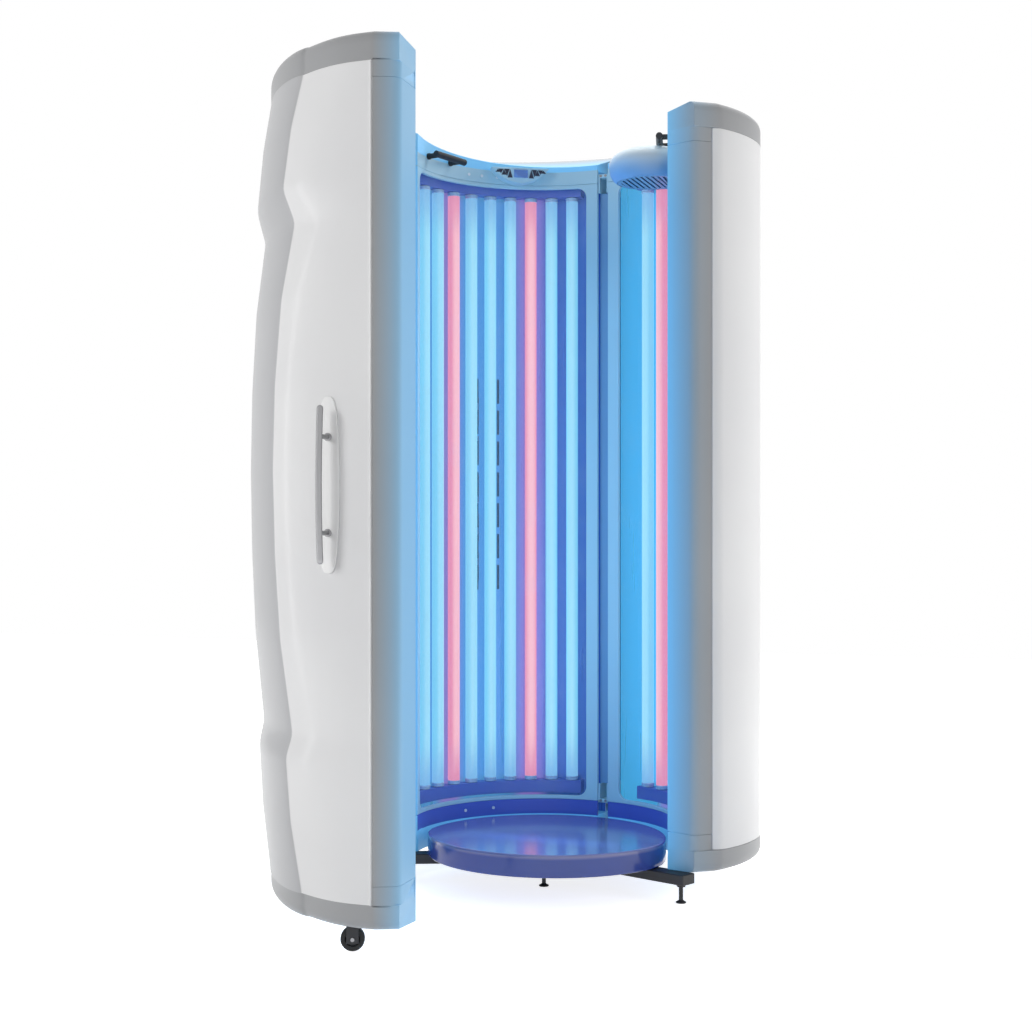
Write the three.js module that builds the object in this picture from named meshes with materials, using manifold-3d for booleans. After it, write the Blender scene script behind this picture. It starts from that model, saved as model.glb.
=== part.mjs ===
// Vertical tanning booth: a lamp-lined rear half on a levelled base, and a lamp-lined door that stands open.
// Millimetres, +Z up. The origin is the booth's axis on the floor, and the entrance faces -Y.
import * as THREE from 'three';
import { mergeVertices } from 'three/addons/utils/BufferGeometryUtils.js';
import Module from 'manifold-3d';

const wasm = await Module();
wasm.setup();

// Heights above the floor, the upper ones counted down from the top
const undersideZ = 85;
const bottomCapTall = 65;
const rimTall = 45;
const boothTopZ = 2277;
const topCapTall = 77;
const topRimTall = 40;
const panelBottomZ = undersideZ + bottomCapTall;
const pillarBottomZ = panelBottomZ + rimTall;
const panelTopZ = boothTopZ - topCapTall;
const pillarTopZ = panelTopZ - topRimTall;

// Standing space and the fixed half's plan
const innerR = 390;
const endY = -43;
const noseX = 477;
const noseY = -87;
const noseRound = 22;
const seamX = 519;
const seamY = -46;
const sideHalf = 606;
const sideY = 190;
const frontRise = 508;
const backRise = 410;
const panelEdgeY = -38;
const jointAngle = 80;
const jointGap = 36;

// Door plan, drawn closed
const closingGap = 6;
const lipGap = 20;
const doorLipY = -42;
const doorInsideY = -306;
const doorSeamX = 471;
const doorSeamY = -158;
const ridgeX = 305;
const ridgeY = -312;
const doorFrontY = -388;
const frontPower = 0.7;
const sideBow = 26;
const sideBowLean = [0.8, 0.3];
const doorOpenAngle = 61;
const hingeOut = 10;

// How far the door's ridge swells at each share of the panel's height, with two pinched waists
const swell = [
  [0, 8], [0.0878, 36], [0.1668, 48], [0.1941, 31], [0.3098, 62], [0.4146, 75], [0.5171, 80],
  [0.6195, 75], [0.7244, 59], [0.8195, 25], [0.8585, 55], [0.9366, 34], [1, 4],
];
const frontSwellShare = 0.72;

// Sheets, walls and clearances
const seat = 0.3;
const panelWall = 6;
const seamGap = 5;
const capWall = 8;
const capRound = 34;
const rimDrop = 20;
const rimSlope = 0.09;
const frameWall = 12;
const frameRail = 12;
const jointStile = 39;
const endStile = 22;
const windowRound = 30;
const acrylicWall = 3;
const reflectorWall = 2;

// Lamps
const lampR = 19;
const lampRing = 50;
const lampInset = 55;
const lampTopInset = 32;
const lampBottomZ = pillarBottomZ + lampInset;
const lampTopZ = pillarTopZ - lampTopInset;
const lampShoulder = 2;
const lampNeck = 4;
const lampPitch = 8.75;
const railHeight = 40;
const railHalf = 16;
const reflectorRing = 76;
const slotWide = 12;
const slotTall = 90;
const slotPitch = 125;
const slotRows = [-2, -1, 0, 1, 2];
const slotMiddleZ = (lampBottomZ + lampTopZ) / 2;

// Base
const beamTall = 30;
const beamWide = 56;
const footX = 436;
const footY = -77;
const rearFootX = 300;
const rearFootY = 430;
const studR = 6.5;
const padR = 15;
const padHeight = 7;
const padEdge = 2;
const nutR = 13;
const nutHeight = 9;
const junctionY = 110;
const platformGap = 14;
const platformBackGap = 28;
const platformTopZ = panelBottomZ;

// Fan pod, console, grips, handle, caster and hinges
const podInset = 72;
const podAngle = 19;
const podR = 125;
const podTall = 100;
const podTopZ = panelTopZ - 12;
const podBottomZ = podTopZ - podTall;
const podWall = 4;
const rotorR = 66;
const rotorBlades = 7;
const bladeTall = 26;
const hubR = 20;
const motorR = 30;
const motorTall = 30;
const consoleAngle = 121;
const consoleHalf = 92;
const consoleDeep = 62;
const consoleTall = 50;
const consoleTopZ = panelTopZ + 6;
const consoleBottomZ = consoleTopZ - consoleTall;
const displayWide = 44;
const displayTall = 24;
const gripR = 10;
const gripReach = 48;
const gripHalf = 75;
const gripZ = panelTopZ + 4;
const gripEndAngle = 14;
const handleFacet = [0.3, 0.54];
const handleRise = 1020;
const handleZ = panelBottomZ + handleRise;
const handleLength = 385;
const handleStandoffs = 234;
const handleR = 8;
const handleReach = 56;
const plateWide = 58;
const plateTall = 432;
const plateWall = 5;
const casterX = 300;
const casterOut = 28;
const wheelR = 31;
const wheelWide = 24;
const axleR = 5;
const forkWall = 4;
const barrelR = 13;
const pinR = 7;
const pinGap = 0.25;
const knuckleTall = 34;
const hingeInset = 135;
const hingeLowZ = pillarBottomZ + hingeInset;
const hingeHighZ = pillarTopZ - hingeInset - knuckleTall;
const facet = 8;

const radians = Math.PI / 180;
const closingY = noseY - closingGap / 2;
const hingeX = -seamX - hingeOut;
const hingeY = closingY;
const doorLipX = innerR - lipGap;
const podRing = innerR - podInset;
const platformR = innerR - platformBackGap;

const finishes = {
  shell: { color: 0xe9e9ea, roughness: 0.4, metalness: 0 },
  trim: { color: 0xa9abae, roughness: 0.5, metalness: 0 },
  frame: { color: 0x8fc8ea, roughness: 0.35, metalness: 0 },
  acrylic: { color: 0xbfe6ff, roughness: 0.1, metalness: 0 },
  reflector: { color: 0x6d8fd0, roughness: 0.25, metalness: 0.8 },
  lamp: { color: 0x8fe0ff, roughness: 0.3, metalness: 0 },
  pinkLamp: { color: 0xff8fae, roughness: 0.3, metalness: 0 },
  platform: { color: 0x4a5fb8, roughness: 0.2, metalness: 0 },
  black: { color: 0x17171b, roughness: 0.6, metalness: 0 },
  steel: { color: 0x9a9da2, roughness: 0.3, metalness: 0.9 },
  screen: { color: 0x2f6fb0, roughness: 0.2, metalness: 0 },
};

const booth = new THREE.Group();
booth.name = 'tanning_booth';
const door = new THREE.Group();
booth.add(door);

// Solids

function toSolid(geometry) {
  const bare = geometry.clone();
  bare.deleteAttribute('normal');
  bare.deleteAttribute('uv');
  const merged = mergeVertices(bare, 1e-4);
  return new wasm.Manifold(new wasm.Mesh({
    numProp: 3,
    vertProperties: new Float32Array(merged.attributes.position.array),
    triVerts: new Uint32Array(merged.index.array),
  }));
}

function toGeometry(solid) {
  const mesh = solid.getMesh();
  const geometry = new THREE.BufferGeometry();
  geometry.setAttribute('position', new THREE.BufferAttribute(new Float32Array(mesh.vertProperties), 3));
  geometry.setIndex(new THREE.BufferAttribute(new Uint32Array(mesh.triVerts), 1));
  return geometry;
}

const join = (...shapes) => toGeometry(shapes.map(toSolid).reduce((whole, next) => whole.add(next)));
const cut = (shape, ...tools) => toGeometry(
  tools.map(toSolid).reduce((whole, tool) => whole.subtract(tool), toSolid(shape)),
);
const common = (a, b) => toGeometry(toSolid(a).intersect(toSolid(b)));

function piece(name, geometry, finish, parent = booth) {
  const mesh = new THREE.Mesh(geometry, new THREE.MeshStandardMaterial(finishes[finish]));
  mesh.name = name;
  parent.add(mesh);
  return mesh;
}

// Closed solid through loops of [x, y] at rising heights; every loop has the same number of points,
// and its height is one number or one for each point
function loft(levels) {
  const count = levels[0].loop.length;
  const clockwise = THREE.ShapeUtils.area(levels[0].loop.map(([x, y]) => new THREE.Vector2(x, y))) < 0;
  const loops = levels.map(({ loop, z }) => {
    const points = loop.map(([x, y], i) => [x, y, Array.isArray(z) ? z[i] : z]);
    return clockwise ? points.reverse() : points;
  });
  const positions = loops.flat(2);
  const index = [];
  for (let level = 0; level + 1 < loops.length; level += 1) {
    for (let i = 0; i < count; i += 1) {
      const a = level * count + i;
      const b = level * count + ((i + 1) % count);
      index.push(a, b, b + count, a, b + count, a + count);
    }
  }
  const top = (loops.length - 1) * count;
  const flat = (loop) => THREE.ShapeUtils.triangulateShape(loop.map(([x, y]) => new THREE.Vector2(x, y)), []);
  flat(loops[0]).forEach(([a, b, c]) => index.push(a, c, b));
  flat(loops[loops.length - 1]).forEach(([a, b, c]) => index.push(top + a, top + b, top + c));
  const geometry = new THREE.BufferGeometry();
  geometry.setAttribute('position', new THREE.Float32BufferAttribute(positions, 3));
  geometry.setIndex(index);
  return geometry;
}

const prism = (loop, z0, z1) => loft([{ loop, z: z0 }, { loop, z: z1 }]);

const box = (x, y, z, wide, deep, tall) => new THREE.BoxGeometry(wide, deep, tall).translate(x, y, z);

// Round bar between two points
function bar(from, to, radius, sides = 12) {
  const a = new THREE.Vector3(...from);
  const b = new THREE.Vector3(...to);
  const along = b.clone().sub(a);
  const upright = new THREE.Vector3(0, 1, 0);
  const turn = new THREE.Quaternion().setFromUnitVectors(upright, along.clone().normalize());
  const middle = a.clone().add(b).multiplyScalar(0.5);
  return new THREE.CylinderGeometry(radius, radius, along.length(), sides)
    .applyQuaternion(turn).translate(middle.x, middle.y, middle.z);
}

// Turned piece about a vertical axis, from [radius, z] points that start and end on the axis
function turned(profile, x, y, sides) {
  const points = profile.map(([radius, z]) => new THREE.Vector2(radius, z));
  return new THREE.LatheGeometry(points, sides).rotateX(Math.PI / 2).translate(x, y, 0);
}

// Plan curves

// How far a flat of a faceted arc lies inside its true radius
const sag = (radius) => radius * (1 - Math.cos(facet / 2 * radians));

const polar = (radius, degrees, cy = 0) => [
  radius * Math.cos(degrees * radians), cy + radius * Math.sin(degrees * radians),
];

function arc(radius, from, to, cy = 0) {
  const steps = Math.max(2, Math.ceil(Math.abs(to - from) / facet));
  return Array.from({ length: steps + 1 }, (_, i) => polar(radius, from + (to - from) * i / steps, cy));
}

// Path moved sideways, to its right, by a distance
function shift(path, distance) {
  return path.map((point, i) => {
    const before = path[Math.max(0, i - 1)];
    const after = path[Math.min(path.length - 1, i + 1)];
    const unit = (a, b) => {
      const length = Math.hypot(b[0] - a[0], b[1] - a[1]) || 1;
      return [(b[0] - a[0]) / length, (b[1] - a[1]) / length];
    };
    const u = i === 0 ? unit(point, after) : unit(before, point);
    const v = i === path.length - 1 ? unit(before, point) : unit(point, after);
    const sum = [u[0] + v[0], u[1] + v[1]];
    const size = Math.hypot(...sum);
    const spread = distance * 2 / (size * size);
    return [point[0] + sum[1] * spread, point[1] - sum[0] * spread];
  });
}

const ribbon = (path, wall) => [...path, ...shift(path, wall).reverse()];

const mirrored = (loop, side) => loop.map(([x, y]) => [side * x, y]);

function rounded(before, corner, after, radius) {
  const towards = (target) => {
    const length = Math.hypot(target[0] - corner[0], target[1] - corner[1]);
    return corner.map((value, i) => value + (target[i] - value) * radius / length);
  };
  const curve = new THREE.QuadraticBezierCurve(
    new THREE.Vector2(...towards(before)), new THREE.Vector2(...corner), new THREE.Vector2(...towards(after)),
  );
  return curve.getPoints(4).map((p) => [p.x, p.y]);
}

// Fixed half

const cornerAngle = Math.asin(endY / innerR) / radians;
const outerPoint = (turn) => [
  sideHalf * Math.cos(turn), sideY + (Math.sin(turn) < 0 ? frontRise : backRise) * Math.sin(turn),
];
const outerStart = Math.asin((panelEdgeY - sideY) / frontRise);

// Last angle of a module at a radius, held back from the joint plane by half the gap
const jointEnd = (span, radius) => span - Math.asin(jointGap / 2 / radius) / radians;

function outerPath(span) {
  const direction = polar(1, span);
  const offset = ([x, y]) => direction[1] * x - direction[0] * y - jointGap / 2;
  let low = span * radians * 0.6;
  let high = span * radians * 1.1;
  for (let i = 0; i < 60; i += 1) {
    const middle = (low + high) / 2;
    if (offset(outerPoint(middle)) > 0) low = middle; else high = middle;
  }
  const steps = Math.ceil((low - outerStart) / radians / facet);
  return Array.from({ length: steps + 1 }, (_, i) => outerPoint(outerStart + (low - outerStart) * i / steps));
}

const noseTip = [noseX, noseY];
const seamPoint = [seamX, seamY];
const innerCorner = polar(innerR, cornerAngle);
const frameCorner = polar(innerR + frameWall + seat, cornerAngle);
const panelEdge = outerPoint(outerStart);

const pillarBackY = seamY + endStile;

const fixedPillar = [
  [innerCorner[0], innerCorner[1] - seat],
  ...rounded(innerCorner, noseTip, seamPoint, noseRound),
  seamPoint,
  [seamX - frameWall, pillarBackY],
  [frameCorner[0] + frameWall, frameCorner[1] + frameWall],
  [frameCorner[0], frameCorner[1] - seat],
];

// Cap: a block with a rounded outer edge, its inner rim, and the foot or head of each pillar it meets.
// The inner edge lies lower than the outer one and falls towards the back.
function cap(outer, inner, pillars, rim, flatZ, farZ, rimZ, drop = 0, slope = 0) {
  const up = Math.sign(farZ - flatZ);
  const plan = (distance) => [...shift(outer, -distance), ...inner];
  const innerFar = inner.map(([, y]) => farZ - up * (drop + slope * (y - inner[inner.length - 1][1])));
  const heights = (z) => [
    ...outer.map(() => z), ...innerFar.map((far) => flatZ + (z - flatZ) * (far - flatZ) / (farZ - flatZ)),
  ];
  const steps = [0, 30, 60, 90];
  const levels = [{ loop: plan(0), z: flatZ }, ...steps.map((degrees) => ({
    loop: plan(capRound * (1 - Math.cos(degrees * radians))),
    z: heights(farZ - up * capRound * (1 - Math.sin(degrees * radians))),
  }))];
  if (up < 0) levels.reverse();
  const seatZ = flatZ + up * capWall;
  const stub = (loop) => prism(loop, Math.min(rimZ, seatZ), Math.max(rimZ, seatZ));
  return join(loft(levels), ...pillars.map(stub), stub(rim));
}

// Sheet cut by a window with rounded corners
function windowed(sheet, ring, from, to, cy) {
  const low = pillarBottomZ + seat + frameRail;
  const high = pillarTopZ - seat - frameRail;
  const corner = windowRound / ring / radians;
  const wide = frameWall * 4;
  const slab = (a, b, z0, z1) => prism(ribbon(arc(ring - wide / 2, a, b, cy), wide), z0, z1);
  const tools = [
    slab(from + corner, to - corner, low, high), slab(from, to, low + windowRound, high - windowRound),
  ];
  for (const angle of [from + corner, to - corner]) {
    for (const z of [low + windowRound, high - windowRound]) {
      const a = polar(ring - wide / 2, angle, cy);
      const b = polar(ring + wide / 2, angle, cy);
      tools.push(bar([...a, z], [...b, z], windowRound, 20));
    }
  }
  const hole = tools.map(toSolid).reduce((whole, next) => whole.add(next));
  return toGeometry(toSolid(sheet).subtract(hole));
}

const lampShape = () => turned([
  [0, lampBottomZ + seat], [lampR - lampShoulder, lampBottomZ + seat], [lampR, lampBottomZ + lampNeck],
  [lampR, lampTopZ - lampNeck], [lampR - lampShoulder, lampTopZ - seat], [0, lampTopZ - seat],
], 0, 0, 10);

// Lampholder rails with the tubes that stand between them, joined as one bank
function lampBank(ring, from, to, angles, cy) {
  const backGap = reflectorRing - lampRing - seat - sag(ring + reflectorRing - lampRing);
  const rail = ribbon(arc(ring - railHalf, from, to, cy), railHalf + backGap);
  const rails = [
    prism(rail, lampBottomZ - railHeight, lampBottomZ), prism(rail, lampTopZ, lampTopZ + railHeight),
  ];
  const tubes = angles.map((angle) => {
    const [x, y] = polar(ring, angle, cy);
    return turned([
      [0, lampBottomZ - seat], [lampR, lampBottomZ - seat], [lampR, lampTopZ + seat], [0, lampTopZ + seat],
    ], x, y, 10);
  });
  return join(...rails, ...tubes);
}

function slotted(sheet, ring, angles, cy) {
  const tools = angles.flatMap((angle) => slotRows.map((row) => {
    const [x, y] = polar(ring, angle, cy);
    return new THREE.BoxGeometry(slotWide * 3, slotWide, slotTall)
      .rotateZ(angle * radians).translate(x, y, slotMiddleZ + row * slotPitch);
  }));
  return cut(sheet, ...tools);
}

const modules = [
  { name: 'rear_right', side: 1, span: jointAngle, first: 60.5, count: 7, pinks: [1, 5], slots: [3] },
  {
    name: 'rear_left', side: -1, span: 180 - jointAngle, first: 83.4, count: 10, pinks: [2, 6], slots: [4, 5],
  },
];

for (const { name, side, span, first, count, pinks, slots } of modules) {
  const flip = (loop) => mirrored(loop, side);
  const outer = [noseTip, ...outerPath(span)];
  const inner = arc(innerR, jointEnd(span, innerR), cornerAngle);
  const rim = ribbon(arc(innerR, cornerAngle, jointEnd(span, innerR)), capWall);
  const mirror = (geometry) => (side > 0 ? geometry : reflected(geometry));
  const bottomCap = cap(outer, inner, [fixedPillar], rim, panelBottomZ, undersideZ, pillarBottomZ);
  const topCap = cap(outer, inner, [fixedPillar], rim, panelTopZ, boothTopZ, pillarTopZ, rimDrop, rimSlope);
  piece(`${name}_bottom_cap`, mirror(bottomCap), 'trim');
  piece(`${name}_top_cap`, mirror(topCap), 'trim');
  piece(`${name}_pillar`, prism(flip(fixedPillar), pillarBottomZ + seat, pillarTopZ - seat), 'trim');

  const lip = [seamX + seat * 2, seamY];
  const skin = shift([lip, ...outerPath(span)], -panelWall);
  const wall = flip(ribbon(skin, panelWall));
  piece(`${name}_panel`, prism(wall, panelBottomZ + seat, panelTopZ - seat), 'shell');

  const frameEnd = jointEnd(span, innerR);
  const bend = ribbon(arc(innerR, cornerAngle, frameEnd), frameWall);
  const sheet = prism(bend, pillarBottomZ + seat, pillarTopZ - seat);
  const stile = (width) => width / innerR / radians;
  const [windowFrom, windowTo] = [cornerAngle + stile(endStile), frameEnd - stile(jointStile)];
  const frame = windowed(sheet, innerR + frameWall / 2, windowFrom, windowTo, 0);
  piece(`${name}_frame`, mirror(frame), 'frame');

  const inside = cornerAngle + stile(endStile) / 2;
  const acrylicRing = innerR + frameWall + seat + sag(innerR + frameWall);
  const acrylic = ribbon(arc(acrylicRing, inside, jointEnd(span, acrylicRing) - stile(capWall)), acrylicWall);
  piece(`${name}_acrylic`, prism(flip(acrylic), panelBottomZ + seat, panelTopZ - seat), 'acrylic');

  const ring = innerR + lampRing;
  const angles = Array.from({ length: count }, (_, i) => first - i * lampPitch);
  const blue = angles.filter((_, i) => !pinks.includes(i));
  const railFrom = angles[count - 1] - lampPitch / 2;
  const railTo = angles[0] + lampPitch / 2;
  piece(`${name}_lamp_bank`, mirror(lampBank(ring, railFrom, railTo, blue, 0)), 'lamp');
  pinks.forEach((i, order) => {
    const [x, y] = polar(ring, angles[i]);
    piece(`${name}_pink_lamp_${order + 1}`, lampShape(), 'pinkLamp').position.set(side * x, y, 0);
  });

  const reflectorAt = innerR + reflectorRing;
  const backFrom = Math.asin((pillarBackY + panelWall) / reflectorAt) / radians;
  const backTo = jointEnd(span, reflectorAt) - stile(capWall);
  const back = ribbon(arc(reflectorAt, backFrom, backTo), reflectorWall);
  const plain = prism(back, panelBottomZ + seat, panelTopZ - seat);
  const gaps = slots.map((i) => angles[i] - lampPitch / 2);
  piece(`${name}_reflector`, mirror(slotted(plain, reflectorAt, gaps, 0)), 'reflector');
}

// Mirror image about the YZ plane, with its faces turned back outwards
function reflected(geometry) {
  const copy = geometry.clone().scale(-1, 1, 1);
  const index = copy.index.array;
  for (let i = 0; i < index.length; i += 3) [index[i], index[i + 1]] = [index[i + 1], index[i]];
  return copy;
}

// Rear joint between the two modules: a recessed channel and a bracket at each end
function jointPiece(loop, z0, z1) {
  return prism(loop, z0, z1).rotateZ((jointAngle - 90) * radians);
}

const channelHalf = jointGap / 2 - seat;
const channelDeep = reflectorRing;
const channelInset = 8;
const channelRing = innerR + frameWall + channelInset;
const channelLoop = [
  [-channelHalf, channelRing], [channelHalf, channelRing], [channelHalf, channelRing + channelDeep],
  [channelHalf - panelWall, channelRing + channelDeep], [channelHalf - panelWall, channelRing + panelWall],
  [panelWall - channelHalf, channelRing + panelWall], [panelWall - channelHalf, channelRing + channelDeep],
  [-channelHalf, channelRing + channelDeep],
];
const bracketTall = 60;
const bracketDeep = 52;
const bracketOut = 30;
const bracketBar = 12;
piece('rear_joint_channel', jointPiece(channelLoop, lampBottomZ + seat, lampTopZ - seat), 'frame');

function jointBracket(z0, barAtTop) {
  const cheek = (x) => box(x, innerR + bracketOut, z0 + bracketTall / 2, panelWall, bracketDeep, bracketTall);
  const barZ = barAtTop ? z0 + bracketTall - bracketBar / 2 : z0 + bracketBar / 2;
  const cross = box(0, innerR + bracketOut, barZ, channelHalf * 2, bracketDeep, bracketBar);
  return join(cheek(channelHalf - panelWall / 2), cheek(panelWall / 2 - channelHalf), cross)
    .rotateZ((jointAngle - 90) * radians);
}
piece('rear_joint_top_bracket', jointBracket(lampTopZ + seat, true), 'frame');
piece('rear_joint_bottom_bracket', jointBracket(lampBottomZ - bracketTall - seat, false), 'frame');

// Base: welded beams, levelling feet and the platform

const beamTopZ = undersideZ - seat;
const beamBottomZ = beamTopZ - beamTall;
const beamMiddleZ = (beamBottomZ + beamTopZ) / 2;
const studHole = (x, y) => bar([x, y, beamBottomZ - 1], [x, y, beamTopZ + 1], studR + seat, 16);
const feet = {
  front_right: [footX, footY],
  front_left: [-footX, footY],
  rear: [0, rearFootY],
  centre: [0, 0],
};
const spineFront = -beamWide / 2;
function armTo(x) {
  const run = Math.hypot(x, footY - junctionY);
  const arm = box(run / 2, 0, beamMiddleZ, run + beamWide, beamWide, beamTall);
  return arm.rotateZ(Math.atan2(footY - junctionY, x)).translate(0, junctionY, 0);
}
piece('base_frame', cut(
  join(
    armTo(footX), armTo(-footX),
    box(0, (spineFront + rearFootY) / 2, beamMiddleZ, beamWide, rearFootY - spineFront, beamTall),
    box(0, rearFootY, beamMiddleZ, rearFootX * 2, beamWide, beamTall),
  ),
  ...Object.values(feet).map(([x, y]) => studHole(x, y)),
), 'black');

for (const [name, [x, y]] of Object.entries(feet)) {
  const nutTop = beamBottomZ - seat;
  piece(`levelling_foot_${name}`, turned([
    [0, 0], [padR, 0], [padR, padEdge], [studR, padHeight], [studR, nutTop - nutHeight],
    [nutR, nutTop - nutHeight], [nutR, nutTop], [studR, nutTop],
    [studR, beamTopZ - seat], [0, beamTopZ - seat],
  ], x, y, 12), 'black');
}

// Door plan

const lipRise = doorLipY - doorInsideY;
const doorR = (doorLipX * doorLipX + lipRise * lipRise) / (2 * lipRise);
const doorCy = doorInsideY + doorR;
const doorLipAngle = Math.atan2(doorLipY - doorCy, doorLipX) / radians;
const lipTurn = frameWall / doorR / radians;
const doorNose = [noseX, closingY - closingGap / 2];
const doorSeam = [doorSeamX, doorSeamY];
const platformFront = arc(doorR - platformGap, 180 - doorLipAngle, 360 + doorLipAngle, doorCy);
piece('base_platform', prism(
  [...arc(platformR, 0, 180), ...platformFront.filter(([, y]) => y < doorLipY)],
  undersideZ, platformTopZ,
), 'platform');

const swellZ = (share) => panelBottomZ + (panelTopZ - panelBottomZ) * share;
function swellAt(z) {
  const next = Math.max(1, swell.findIndex(([share]) => swellZ(share) >= z - seat));
  const [z0, s0] = [swellZ(swell[next - 1][0]), swell[next - 1][1]];
  const [z1, s1] = [swellZ(swell[next][0]), swell[next][1]];
  return s0 + (s1 - s0) * (z - z0) / (z1 - z0);
}

// Door skin from its left seam round the front to its right seam, swollen at the ridges and the front
function sidePoint(share, amount) {
  const ease = share * share * (3 - 2 * share);
  const bow = sideBow * Math.sin(Math.PI * share);
  return [
    doorSeamX + (ridgeX - doorSeamX) * share + bow * sideBowLean[0],
    doorSeamY + (ridgeY - doorSeamY) * share - amount * ease - bow * sideBowLean[1],
  ];
}

function frontPoint(x, amount) {
  const lift = (1 - (x / ridgeX) ** 2) ** frontPower;
  const swollen = amount * (1 - (1 - frontSwellShare) * lift);
  return [x, ridgeY + (doorFrontY - ridgeY) * lift - swollen];
}

function doorSkin(amount) {
  const sideShares = [0, 0.15, ...handleFacet, 0.8, 1];
  const right = sideShares.map((share) => sidePoint(share, amount));
  const frontShares = [-0.92, -0.75, -0.5, -0.25, 0, 0.25, 0.5, 0.75, 0.92];
  const front = frontShares.map((share) => frontPoint(share * ridgeX, amount));
  return [...mirrored(right, -1), ...front, ...right.reverse()];
}

const doorHalfPillar = (side) => mirrored([
  [doorLipX, doorLipY],
  ...rounded([doorLipX, doorLipY], doorNose, doorSeam, noseRound),
  doorSeam,
  [doorSeamX - endStile, doorSeamY],
  polar(doorR + frameWall + endStile, doorLipAngle - lipTurn * 2, doorCy),
  polar(doorR + frameWall + seat, doorLipAngle - lipTurn, doorCy),
  polar(doorR, doorLipAngle - lipTurn, doorCy),
], side);

const doorInner = arc(doorR, 180 - doorLipAngle, 360 + doorLipAngle, doorCy);
const doorOuter = [[-doorNose[0], doorNose[1]], ...doorSkin(swellAt(panelTopZ)), doorNose];
const doorBack = [...doorInner].reverse();
const doorRim = ribbon(doorInner, capWall);
const doorPillars = [doorHalfPillar(1), doorHalfPillar(-1)];

const doorBottomCap = cap(doorOuter, doorBack, doorPillars, doorRim, panelBottomZ, undersideZ, pillarBottomZ);
const doorTopCap = cap(doorOuter, doorBack, doorPillars, doorRim, panelTopZ, boothTopZ, pillarTopZ, rimDrop);
piece('door_bottom_cap', doorBottomCap, 'trim', door);
piece('door_top_cap', doorTopCap, 'trim', door);
piece('door_free_pillar', prism(doorHalfPillar(1), pillarBottomZ + seat, pillarTopZ - seat), 'trim', door);
piece('door_hinge_pillar', prism(doorHalfPillar(-1), pillarBottomZ + seat, pillarTopZ - seat), 'trim', door);

const clearSeam = (path) => path.map(([x, y], i) => {
  const end = i === 0 || i === path.length - 1;
  return end ? [x, y - seamGap] : [x, y];
});
const doorLevels = swell.map(([share, amount]) => {
  const z = Math.min(Math.max(swellZ(share), panelBottomZ + seat), panelTopZ - seat);
  return { loop: ribbon(shift(clearSeam(doorSkin(amount)), -panelWall), panelWall), z };
});
piece('door_panel', loft(doorLevels), 'shell', door);

const doorFrom = 180 - doorLipAngle;
const doorTo = 360 + doorLipAngle;
const doorStile = endStile / doorR / radians;
const doorFrameEnd = lipTurn + seat / doorR / radians;
const doorSheet = prism(
  ribbon(arc(doorR, doorFrom + doorFrameEnd, doorTo - doorFrameEnd, doorCy), frameWall),
  pillarBottomZ + seat, pillarTopZ - seat,
);
const doorWindow = [doorFrom + doorStile, doorTo - doorStile];
piece('door_frame', windowed(doorSheet, doorR + frameWall / 2, ...doorWindow, doorCy), 'frame', door);

const doorAcrylicR = doorR + frameWall + seat + sag(doorR + frameWall);
const doorInset = doorStile * 1.6;
piece('door_acrylic', prism(
  ribbon(arc(doorAcrylicR, doorFrom + doorInset, doorTo - doorInset, doorCy), acrylicWall),
  panelBottomZ + seat, panelTopZ - seat,
), 'acrylic', door);

const doorLampR = doorR + lampRing;
const doorLampPitch = lampPitch * (innerR + lampRing) / doorLampR;
const doorLampCount = 11;
const doorPinks = [3, 7];
const doorMiddle = 270;
const doorAngles = Array.from(
  { length: doorLampCount }, (_, i) => doorMiddle + (i - (doorLampCount - 1) / 2) * doorLampPitch,
);
piece('door_lamp_bank', lampBank(
  doorLampR, doorAngles[0] - doorLampPitch / 2, doorAngles[doorLampCount - 1] + doorLampPitch / 2,
  doorAngles.filter((_, i) => !doorPinks.includes(i)), doorCy,
), 'lamp', door);
doorPinks.forEach((i, order) => {
  const [x, y] = polar(doorLampR, doorAngles[i], doorCy);
  piece(`door_pink_lamp_${order + 1}`, lampShape(), 'pinkLamp', door).position.set(x, y, 0);
});

const doorReflectorR = doorR + reflectorRing;
const doorBackFrom = doorAngles[0] - doorLampPitch * 0.7;
const doorBackTo = doorAngles[doorLampCount - 1] + doorLampPitch * 0.7;
const doorBackSheet = prism(
  ribbon(arc(doorReflectorR, doorBackFrom, doorBackTo, doorCy), reflectorWall),
  panelBottomZ + seat, panelTopZ - seat,
);
const doorSlots = [doorMiddle - doorLampPitch / 2, doorMiddle + doorLampPitch / 2];
piece('door_reflector', slotted(doorBackSheet, doorReflectorR, doorSlots, doorCy), 'reflector', door);

const standingR = innerR - sag(innerR) - seat;
const standing = bar([0, 0, 0], [0, 0, boothTopZ], standingR, 96);

// Grab bars inside the top caps, above the standing space
function grip(angle) {
  const x = innerR - gripReach;
  const postR = gripR * 0.8;
  const postY = gripHalf * 0.75;
  const wallX = Math.sqrt(standingR ** 2 - (postY + postR) ** 2);
  const post = (y) => bar([x, y, gripZ], [wallX, y, gripZ], postR, 10);
  return join(bar([x, -gripHalf, gripZ], [x, gripHalf, gripZ], gripR, 10), post(-postY), post(postY))
    .rotateZ(angle * radians);
}
piece('right_grip', grip(gripEndAngle), 'black');
piece('left_grip', grip(180 - gripEndAngle), 'black');

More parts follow.
